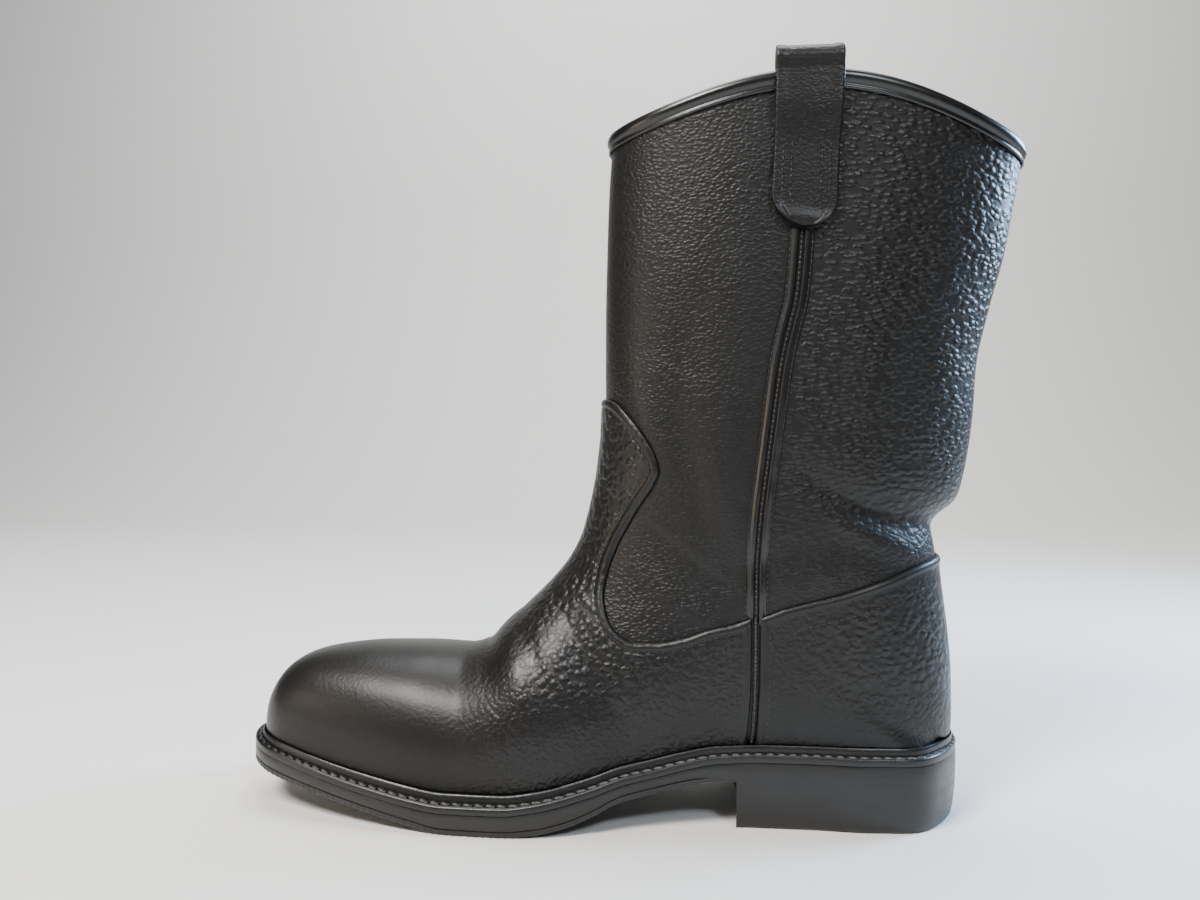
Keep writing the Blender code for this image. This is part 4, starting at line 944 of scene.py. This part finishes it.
# Foot seam cords
# A waxed cord laid into the slot between vamp and counter, from the corner to the welt.
CORD_WIDTH = 0.0019
foot_path = np.stack([foot_x, foot_z + np.linspace(0.006, -0.001, 30)], 1)
turn = np.linspace(0, 2 * np.pi, 13)[:-1]
round_cord = np.stack([CORD_WIDTH / 2 * np.cos(turn), 0.0008 + 0.0007 * np.sin(turn)], 1)
for side, name in SIDES:
    swept("foot_cord_" + name, along_seam(paced(foot_path, 0.0004), side, round_cord),
          black_thread, ("foot_seam_cord_" + name,))
sew_rows("foot_cord_twist", [foot_path], 0.00135, 0.0017, 0.0016, 0.0010)


# Top binding
# A strip of smooth leather folded over the topline round a thin filler: a full roll on
# the edge, a groove where it is sewn, and a fine second fold below.
around = np.linspace(-1, 1, 401)[:-1]
tops = np.linspace(0.9, 1, 60)
heights = upper_point(tops[:, None], around[None, :])[..., 2]
# distance from the upper's face, rise above the wall's edge
BINDING = np.array([
    (0.0003, -0.0056), (0.0008, -0.0058), (0.0012, -0.0054), (0.0012, -0.0048),
    (0.0007, -0.0043), (0.0006, -0.0036), (0.0011, -0.0030), (0.0016, -0.0021),
    (0.0018, -0.0010), (0.0017, 0.0002), (0.0011, 0.0014), (0.0001, 0.0021),
    (-0.0013, 0.0024), (-0.0027, 0.0021), (-0.0037, 0.0013), (-0.0042, 0.0001),
    (-0.0041, -0.0015), (-0.0037, -0.0035), (-0.0036, -0.0050), (-0.0032, -0.0054),
    (-0.0028, -0.0050), (-0.0028, 0.0002), (0.0002, 0.0002),
])
loops = []
for out, rise in BINDING:
    row = np.array([np.interp(column[-1] + min(rise, 0), column, tops) for column in heights.T])
    loops.append(upper_point(row, around) + upper_normal(row, around) * out + UP * max(rise, 0))
binding_leather = smooth_leather("binding_leather", BLACK, BLACK_SHEEN, 0.27, 0.00005)
swept("binding_roll", np.array(loops).transpose(1, 0, 2)[:, ::-1], binding_leather,
      ("top_binding",), closed_path=True)


# Pull straps
# A doubled strap of lightly grained leather over each side seam: sewn on below with a
# U of two rows, free as a loop above the binding, and let down inside the shaft.
STRAP_WIDTH = 0.0268
STRAP_THICKNESS = 0.0026
STRAP_OUTSIDE = 0.061
STRAP_INSIDE = 0.045
STRAP_RISE = 0.0080
STRAP_SPREAD = 0.0034
STRAP_END = 0.0130
strap_leather = grained_leather("strap_leather", 0.0024, (0.8, 1.0, 1.3), 0.00032, 0.36, 0.12)
clear = 2 * GAP + 1.15 * (GAP + 0.0010)


def strap_legs(side, heights, distance, shares):
    """Points across the strap at each height of the side seam, standing off the upper;
    distance and shares hold one row for each height."""
    line = np.stack([seam_x(heights), heights], 1)
    row, ring = seam_place(line, side, shares * STRAP_WIDTH)
    return upper_point(row, ring) + upper_normal(row, ring) * distance[..., None]


# rounded rectangle across the strap: share of the width, share of the thickness
turn = np.linspace(0, np.pi / 2, 5)
corner = np.stack([0.46 + 0.04 * np.cos(turn), 0.72 + 0.28 * np.sin(turn)], 1)
far_side = np.stack([np.linspace(0.44, -0.44, 25), np.ones(25)], 1)
face_half = np.concatenate([corner, far_side, corner[::-1] * (-1, 1)])
cross = np.concatenate([face_half, face_half[::-1] * (1, -1) + (0, 1.0)])
on_face = np.arange(len(cross)) < len(face_half)
# the middle of the face lies a little lower than its two long edges
cross[:, 1] = np.where(on_face, cross[:, 1], cross[:, 1].clip(0, 0.28))
cross[:, 1] -= 0.16 * (1 - ramp(np.abs(cross[:, 0]), 0.33, 0.40)) * on_face
share, thick = cross[None, :, 0], cross[None, :, 1] * STRAP_THICKNESS
for side, name in SIDES:
    high = topline(side) - 0.0002
    part = np.concatenate([np.linspace(0, 0.24, 22), np.linspace(0.26, 1, 34)])[:, None]
    end = np.minimum(part * STRAP_OUTSIDE / STRAP_END, 1)
    narrow = np.sqrt(np.maximum(1 - (1 - end) ** 2, 0.02))
    narrow = narrow * (1 - 0.035 * np.sin(np.pi * part) ** 2)
    stand = GAP + (clear - GAP) * ramp(part, 0.5, 0.85)
    swell = 0.0009 * np.exp(-((part - 0.05) / 0.05) ** 2)
    outer = strap_legs(side, high - STRAP_OUTSIDE * (1 - part[:, 0]),
                       stand + cross[:, 1] * (STRAP_THICKNESS + swell), share * narrow)
    foot, inner = (strap_legs(side, np.array([high]), distance + 0 * share, share)[0]
                   for distance in (clear, -WALL - clear))
    middle, half = (foot + inner) / 2, (foot - inner) / 2
    reach = np.linalg.norm(half, axis=1, keepdims=True)
    centre = middle.copy()
    centre[:, 2] = middle[:, 2].mean() + STRAP_RISE - STRAP_SPREAD
    angle = np.pi * np.linspace(0, 1, 27)[:, None, None]
    size = reach + STRAP_SPREAD / 2 * np.sin(angle) ** 0.5 + thick[0, :, None]
    loop = centre + (half / reach * np.cos(angle) + UP * np.sin(angle)) * size
    part = np.linspace(1, 0, 24)[:, None]
    stand = GAP + (clear - GAP) * ramp(part, 0.3, 0.7)
    inside = strap_legs(side, high - STRAP_INSIDE * (1 - part[:, 0]),
                        -WALL - stand - thick, share + 0 * part)
    loops = np.concatenate([outer, loop, inside])
    points = loops.shape[0] * loops.shape[1]
    values = {"grain": np.full(points, 0.45), "coarse": np.full(points, 0.4)}
    swept("strap_" + name, loops, strap_leather, ("pull_strap_" + name,),
          values=values)
u_rows = []
for inset in (0.0042, 0.0075):
    leg = STRAP_WIDTH / 2 - inset
    end_z = topline(-1) - STRAP_OUTSIDE + inset + leg * 0.9
    bow = np.linspace(0, np.pi, 40)
    u_x = np.concatenate([[-leg, -leg], -leg * np.cos(bow), [leg, leg]])
    u_z = end_z + np.concatenate([[0.020, 0.010], -leg * 0.9 * np.sin(bow), [0.010, 0.020]])
    u_rows.append(np.stack([u_x + seam_x(u_z), u_z], 1))
sew_rows("strap_stitches", u_rows, GAP + STRAP_THICKNESS + 0.0001)


# Welt
# A strip of black leather sewn to the upper and the insole all round, its inner edge
# standing up as a smooth rib, with a channel beside it for the outsole's stitches.
WELT_THICKNESS = 0.0025
RIB_HEIGHT = 0.0035
WELT_UNDERLAP = 0.0056
DUSTY_WELT = (0.0028, 0.0026, 0.0025), (0.0080, 0.0076, 0.0072)
welt_leather = smooth_leather("welt_leather", *DUSTY_WELT, 0.34, 0.00012)


def round_sole(stations, at_feather=False):
    """Closed plan loop along the sole's edge, or along the feather line: toe, lateral
    side, heel, medial side, at even turns."""
    turn = np.linspace(0, np.pi, stations)
    lateral, medial = (np.stack([*edge(turn, side, margin(turn) * at_feather), 0 * turn], 1)
                       for side in (0, 1))
    loop = np.concatenate([lateral, medial[-2:0:-1]])
    loop[[0, stations - 1], 1] = 0.0
    return loop


def overlay_reach(loop, out):
    """How far the overlays stand past the feather line near each station, up to the
    rib's height, measured along the plan direction that leads out over the welt."""
    rows = np.linspace(1e-4, HEEL_ROW + 3 / LAST_ROW, 420)[:, None]
    tries = np.linspace(0.55, 1, 90)[None, :]
    reach = np.empty(len(loop))
    half = len(loop) // 2
    for side in (-1, 1):
        cloud = folded_point(rows, side * tries, np.full((420, 90), GAP + OVERLAY)).reshape(-1, 3)
        cloud = cloud[cloud[:, 2] - sole_top(cloud[:, 0]) < RIB_HEIGHT + GAP]
        for number in (range(0, half + 1) if side < 0 else range(half, len(loop))):
            apart = cloud[:, :2] - loop[number, :2]
            aside = np.abs(apart @ np.array([-out[number, 1], out[number, 0]]))
            reach[number] = np.max((apart @ out[number, :2])[aside < 0.003])
    return np.convolve(np.concatenate([reach[-4:], reach, reach[:4]]), np.ones(9) / 9, "valid")


STATIONS = 181
feather_loop = round_sole(STATIONS, at_feather=True)
edge_loop = round_sole(STATIONS)
out = edge_loop - feather_loop
room = np.linalg.norm(out, axis=1, keepdims=True)
out = out / room
reach = overlay_reach(feather_loop, out)[:, None] + 0.0003
shelf = room - reach
# share of the way from the overlays to the sole's edge, height above the sole's top
WELT_PROFILE = np.array([
    (-0.30, 0.0000), (0.00, 0.0002), (0.02, 0.0029), (0.06, 0.0034), (0.14, 0.0035),
    (0.21, 0.0031), (0.26, 0.0020), (0.29, 0.0004), (0.33, -0.0004), (0.50, -0.0005),
    (0.66, -0.0004), (0.72, 0.0002), (0.80, 0.0004), (0.86, 0.0001), (0.89, 0.0003),
    (0.95, 0.0001), (0.985, -0.0004), (0.985, -0.0025), (-0.30, -0.0025),
])
loops = []
for share, rise in WELT_PROFILE:
    loop = feather_loop + out * (reach + share * shelf)
    if share < 0:
        loop = feather_loop - out * WELT_UNDERLAP
    loop[:, 2] = sole_top(loop[:, 0]) + rise
    loops.append(loop)
swept("welt_strip", np.array(loops).transpose(1, 0, 2), welt_leather,
      ("welt",), closed_path=True)


# Welt lockstitches
# Heavy waxed thread that sews the outsole to the welt, lying in the channel as a row of
# slanted twists, about 5 mm apart.
LOCK_PITCH = 0.0046
channel = feather_loop + out * (reach + 0.50 * shelf)
channel[:, 2] = sole_top(channel[:, 0]) + 0.0002
channel = np.concatenate([channel, channel[:1]])
spots = paced(channel, LOCK_PITCH)
along = unit(np.gradient(spots, axis=0))
outward = np.cross(along, UP)
slant = unit(along * 0.97 + outward * 0.24)
upright = np.tile(UP, (len(spots), 1))
lock_points, lock_faces = stitch_mesh(spots, slant, upright, LOCK_PITCH, 0.0020, 0.0015)
knot_points, knot_faces = stitch_mesh(spots + along * LOCK_PITCH / 2, outward, upright,
                                      0.0021, 0.0010, 0.0014)
lock_faces += [[index + len(lock_points) for index in face] for face in knot_faces]
waxed_thread = thread_finish("waxed_thread", (0.014, 0.013, 0.012), 0.42)
keep_object("welt_lockstitches", np.concatenate([lock_points, knot_points]), lock_faces,
            waxed_thread)


# Outsole
# Satin black rubber: a plain side wall under the welt, a fine line, and below it a thin
# tread lip with a lightly serrated edge under the forefoot. Raised at the waist.
HEEL_LENGTH = 0.0964
TREAD_LIP = 0.0018


def satin_rubber(name):
    """Moulded rubber: faint cloudy dulling, fine pits, and scuffs toward the floor."""
    material, _, add, dress = shader_tree(name)
    place = add("TexCoord").outputs["Object"]
    cloud = add("TexNoise", place, Scale=60.0, Detail=4.0).outputs[0]
    pits = add("TexNoise", place, Scale=1500.0, Detail=2.0).outputs[0]
    drag = add("Mapping", place, Scale=(0.12, 0.12, 1.0)).outputs[0]
    streak = add("TexNoise", drag, Scale=420.0, Detail=3.0).outputs[0]
    wear = add("Math", cloud, streak, operation="MULTIPLY").outputs[0]
    dull = add("MapRange", wear, From_Min=0.15, From_Max=0.4, To_Min=0.36, To_Max=0.55)
    tints = (0.0050, 0.0048, 0.0046), (0.0120, 0.0115, 0.0110)
    dress((wear, *tints), (pits, 0.35, 0.00008), dull.outputs[0])
    return material


SOLE_STATIONS = 721
TOOTH_PITCH = 0.0030
TOOTH_DEPTH = 0.00022
rubber = satin_rubber("rubber")
turn = np.linspace(0, np.pi, SOLE_STATIONS)
edge_x = SOLE_LENGTH * (1 - np.cos(np.concatenate([turn, turn[-2:0:-1]]))) / 2
fade = ramp(SOLE_LENGTH - HEEL_LENGTH - edge_x, 0.0, 0.02)
wave = np.sin(walked(round_sole(SOLE_STATIONS)) * 2 * np.pi / TOOTH_PITCH)
teeth = TOOTH_DEPTH * (0.5 + 0.5 * np.sign(wave)) * fade


def sole_ring(inset, surface, lift):
    """Plan loop inset from the edge, at a lift over one of the sole's surfaces; inset and
    lift go from the toe round the lateral side and back along the medial one."""
    lateral = np.stack(edge(turn, 0, inset[:SOLE_STATIONS]))
    back = np.concatenate([inset[:1], inset[:SOLE_STATIONS - 1:-1]])
    medial = np.stack(edge(turn[:-1], 1, back))
    x, y = np.concatenate([lateral, medial[:, :0:-1]], axis=1)
    y[[0, SOLE_STATIONS - 1]] = 0.0
    return np.stack([x, y, surface(x) + lift], 1)


zero = 0 * fade
line_z = (TREAD_LIP + 0.0002) * fade + 0.0002
loops = np.array([
    sole_ring(zero + 0.0016, sole_bottom, 0),
    sole_ring(teeth + 0.0005, sole_bottom, 0),
    sole_ring(teeth + 0.0001 * fade, sole_bottom, 0.0005 * fade + 0.00005),
    sole_ring(teeth, sole_bottom, 0.6 * line_z + 0.0001),
    sole_ring(0.0001 * fade, sole_bottom, line_z),
    sole_ring(0.0005 * fade, sole_bottom, line_z + 0.0002),
    sole_ring(0.0001 * fade, sole_bottom, line_z + 0.0006),
    sole_ring(zero, sole_top, -WELT_THICKNESS - GAP - 0.0010),
    sole_ring(zero + 0.0003, sole_top, -WELT_THICKNESS - GAP),
    sole_ring(zero + 0.0080, sole_top, -WELT_THICKNESS - GAP),
])
# each end is closed by rungs from the lateral side to the medial one
count, size = loops.shape[:2]
step = np.arange(size // 2)
rungs = np.stack([step, step + 1, size - step - 1, (size - step) % size], 1)
rungs = np.concatenate([rungs, rungs + (count - 1) * size]).tolist()
rungs = [rung for rung in (list(dict.fromkeys(rung)) for rung in rungs) if len(rung) > 2]
keep_object("rubber_outsole", loops.reshape(-1, 3), tube_faces(count, size).tolist() + rungs,
            rubber, ("outsole",))


# Heel
# Moulded in one with the outsole's side wall, drawn in a little toward the floor, with a
# hollow breast and a worn, slightly rounded bottom edge.
HEEL_TAPER = 0.0026
BREAST_HOLLOW = 0.004
# height of each loop, and its inset from the sole's edge as a share of the taper
HEEL_LOOPS = (
    (HEEL_HEIGHT + 0.0001, 0.0), (0.75 * HEEL_HEIGHT, 0.05), (0.5 * HEEL_HEIGHT, 0.18),
    (0.25 * HEEL_HEIGHT, 0.38), (0.0022, 0.56), (0.0010, 0.68), (0.0003, 0.86), (0.0, 1.1),
)
start = np.arccos(1 - 2 * (SOLE_LENGTH - HEEL_LENGTH) / SOLE_LENGTH)
turn = np.linspace(start, np.pi, 160)
across = np.linspace(-1, 1, 41)[1:-1]
loops = []
for height, inset in HEEL_LOOPS:
    lateral_x, lateral_y = edge(turn, 0, inset * HEEL_TAPER)
    medial_x, medial_y = edge(turn, 1, inset * HEEL_TAPER)
    breast_y = np.interp(across, (-1, 1), (medial_y[0], lateral_y[0]))
    breast_x = (lateral_x[0] + medial_x[0]) / 2 + BREAST_HOLLOW * (1 - across ** 2)
    x = np.concatenate([lateral_x, medial_x[-2::-1], breast_x])
    y = np.concatenate([lateral_y, medial_y[-2::-1], breast_y])
    loops.append(np.stack([x, y, np.full(len(x), height)], 1))
swept("rubber_heel", np.array(loops), rubber, ("heel_block",))


# Floor, light and camera
# A plain pale floor, a large soft key from the upper left, a cool strip behind the heel
# and a low fill, seen from the lateral side as in the photograph.
turn = np.linspace(0, np.pi / 2, 25)
sweep_y = np.concatenate([[-4.0], 1.4 + 0.9 * np.sin(turn), [2.3]])
sweep_z = np.concatenate([[0.0], 0.9 - 0.9 * np.cos(turn), [4.0]])
sweep = np.concatenate([np.stack([0 * sweep_y + end, sweep_y, sweep_z], 1) for end in (-5.0, 5.0)])
step = np.arange(len(sweep_y) - 1)
sweep_faces = np.stack([step, step + len(sweep_y), step + len(sweep_y) + 1, step + 1], 1)
floor_mesh = bpy.data.meshes.new("floor")
floor_mesh.from_pydata(sweep.tolist(), [], sweep_faces.tolist())
floor_mesh.shade_smooth()
floor = bpy.data.objects.new("floor", floor_mesh)
bpy.context.scene.collection.objects.link(floor)
floor_paint, floor_shader, _, _ = shader_tree("floor_paint")
floor_shader.inputs["Base Color"].default_value = (0.78, 0.77, 0.75, 1)
floor_shader.inputs["Roughness"].default_value = 0.75
floor_mesh.materials.append(floor_paint)

world = bpy.data.worlds.new("studio")
world.use_nodes = True
sky = world.node_tree.nodes["Background"].inputs
sky["Color"].default_value = (0.86, 0.88, 0.92, 1)
sky["Strength"].default_value = 0.10
bpy.context.scene.world = world

# square area lights: name, place, target, size, power, colour
for name, place, target, size, power, colour in (
    ("key", (-0.55, -0.70, 1.15), (0.0, 0.0, 0.14), 0.40, 30.0, (1.0, 0.97, 0.93)),
    ("heel_strip", (0.80, 0.25, 0.50), (0.1, 0.0, 0.16), 0.30, 15.0, (0.50, 0.72, 1.0)),
    ("toe_fill", (-0.95, -0.55, 0.30), (-0.1, 0.0, 0.05), 0.35, 2.5, (1.0, 0.82, 0.66)),
    ("window", (0.45, -0.95, 0.95), (0.05, 0.0, 0.15), 0.20, 7.0, (0.86, 0.92, 1.0)),
    ("backdrop", (0.0, 0.7, 2.3), (0.0, 2.1, 0.2), 1.6, 75.0, (1.0, 1.0, 1.0)),
):
    data = bpy.data.lights.new(name, "AREA")
    data.size, data.energy, data.color = size, power, colour
    lamp = bpy.data.objects.new(name, data)
    away = unit(np.array(place) - target)
    lamp.location = place
    lamp.rotation_euler = (np.arccos(away[2]), 0, np.arctan2(away[1], away[0]) + np.pi / 2)
    bpy.context.scene.collection.objects.link(lamp)

CAMERA_TURN = np.radians(3.2)
CAMERA_DISTANCE = 0.405
CAMERA_AIM = 0.154
camera_data = bpy.data.cameras.new("camera")
camera_data.lens = 27.18
camera_data.sensor_width = 36.0
camera = bpy.data.objects.new("camera", camera_data)
camera.location = (PLACE[0] + CAMERA_AIM + np.sin(CAMERA_TURN) * CAMERA_DISTANCE,
                   -np.cos(CAMERA_TURN) * CAMERA_DISTANCE, 0.1525)
camera.rotation_euler = (np.pi / 2, 0.0, CAMERA_TURN)
bpy.context.scene.collection.objects.link(camera)
bpy.context.scene.camera = camera
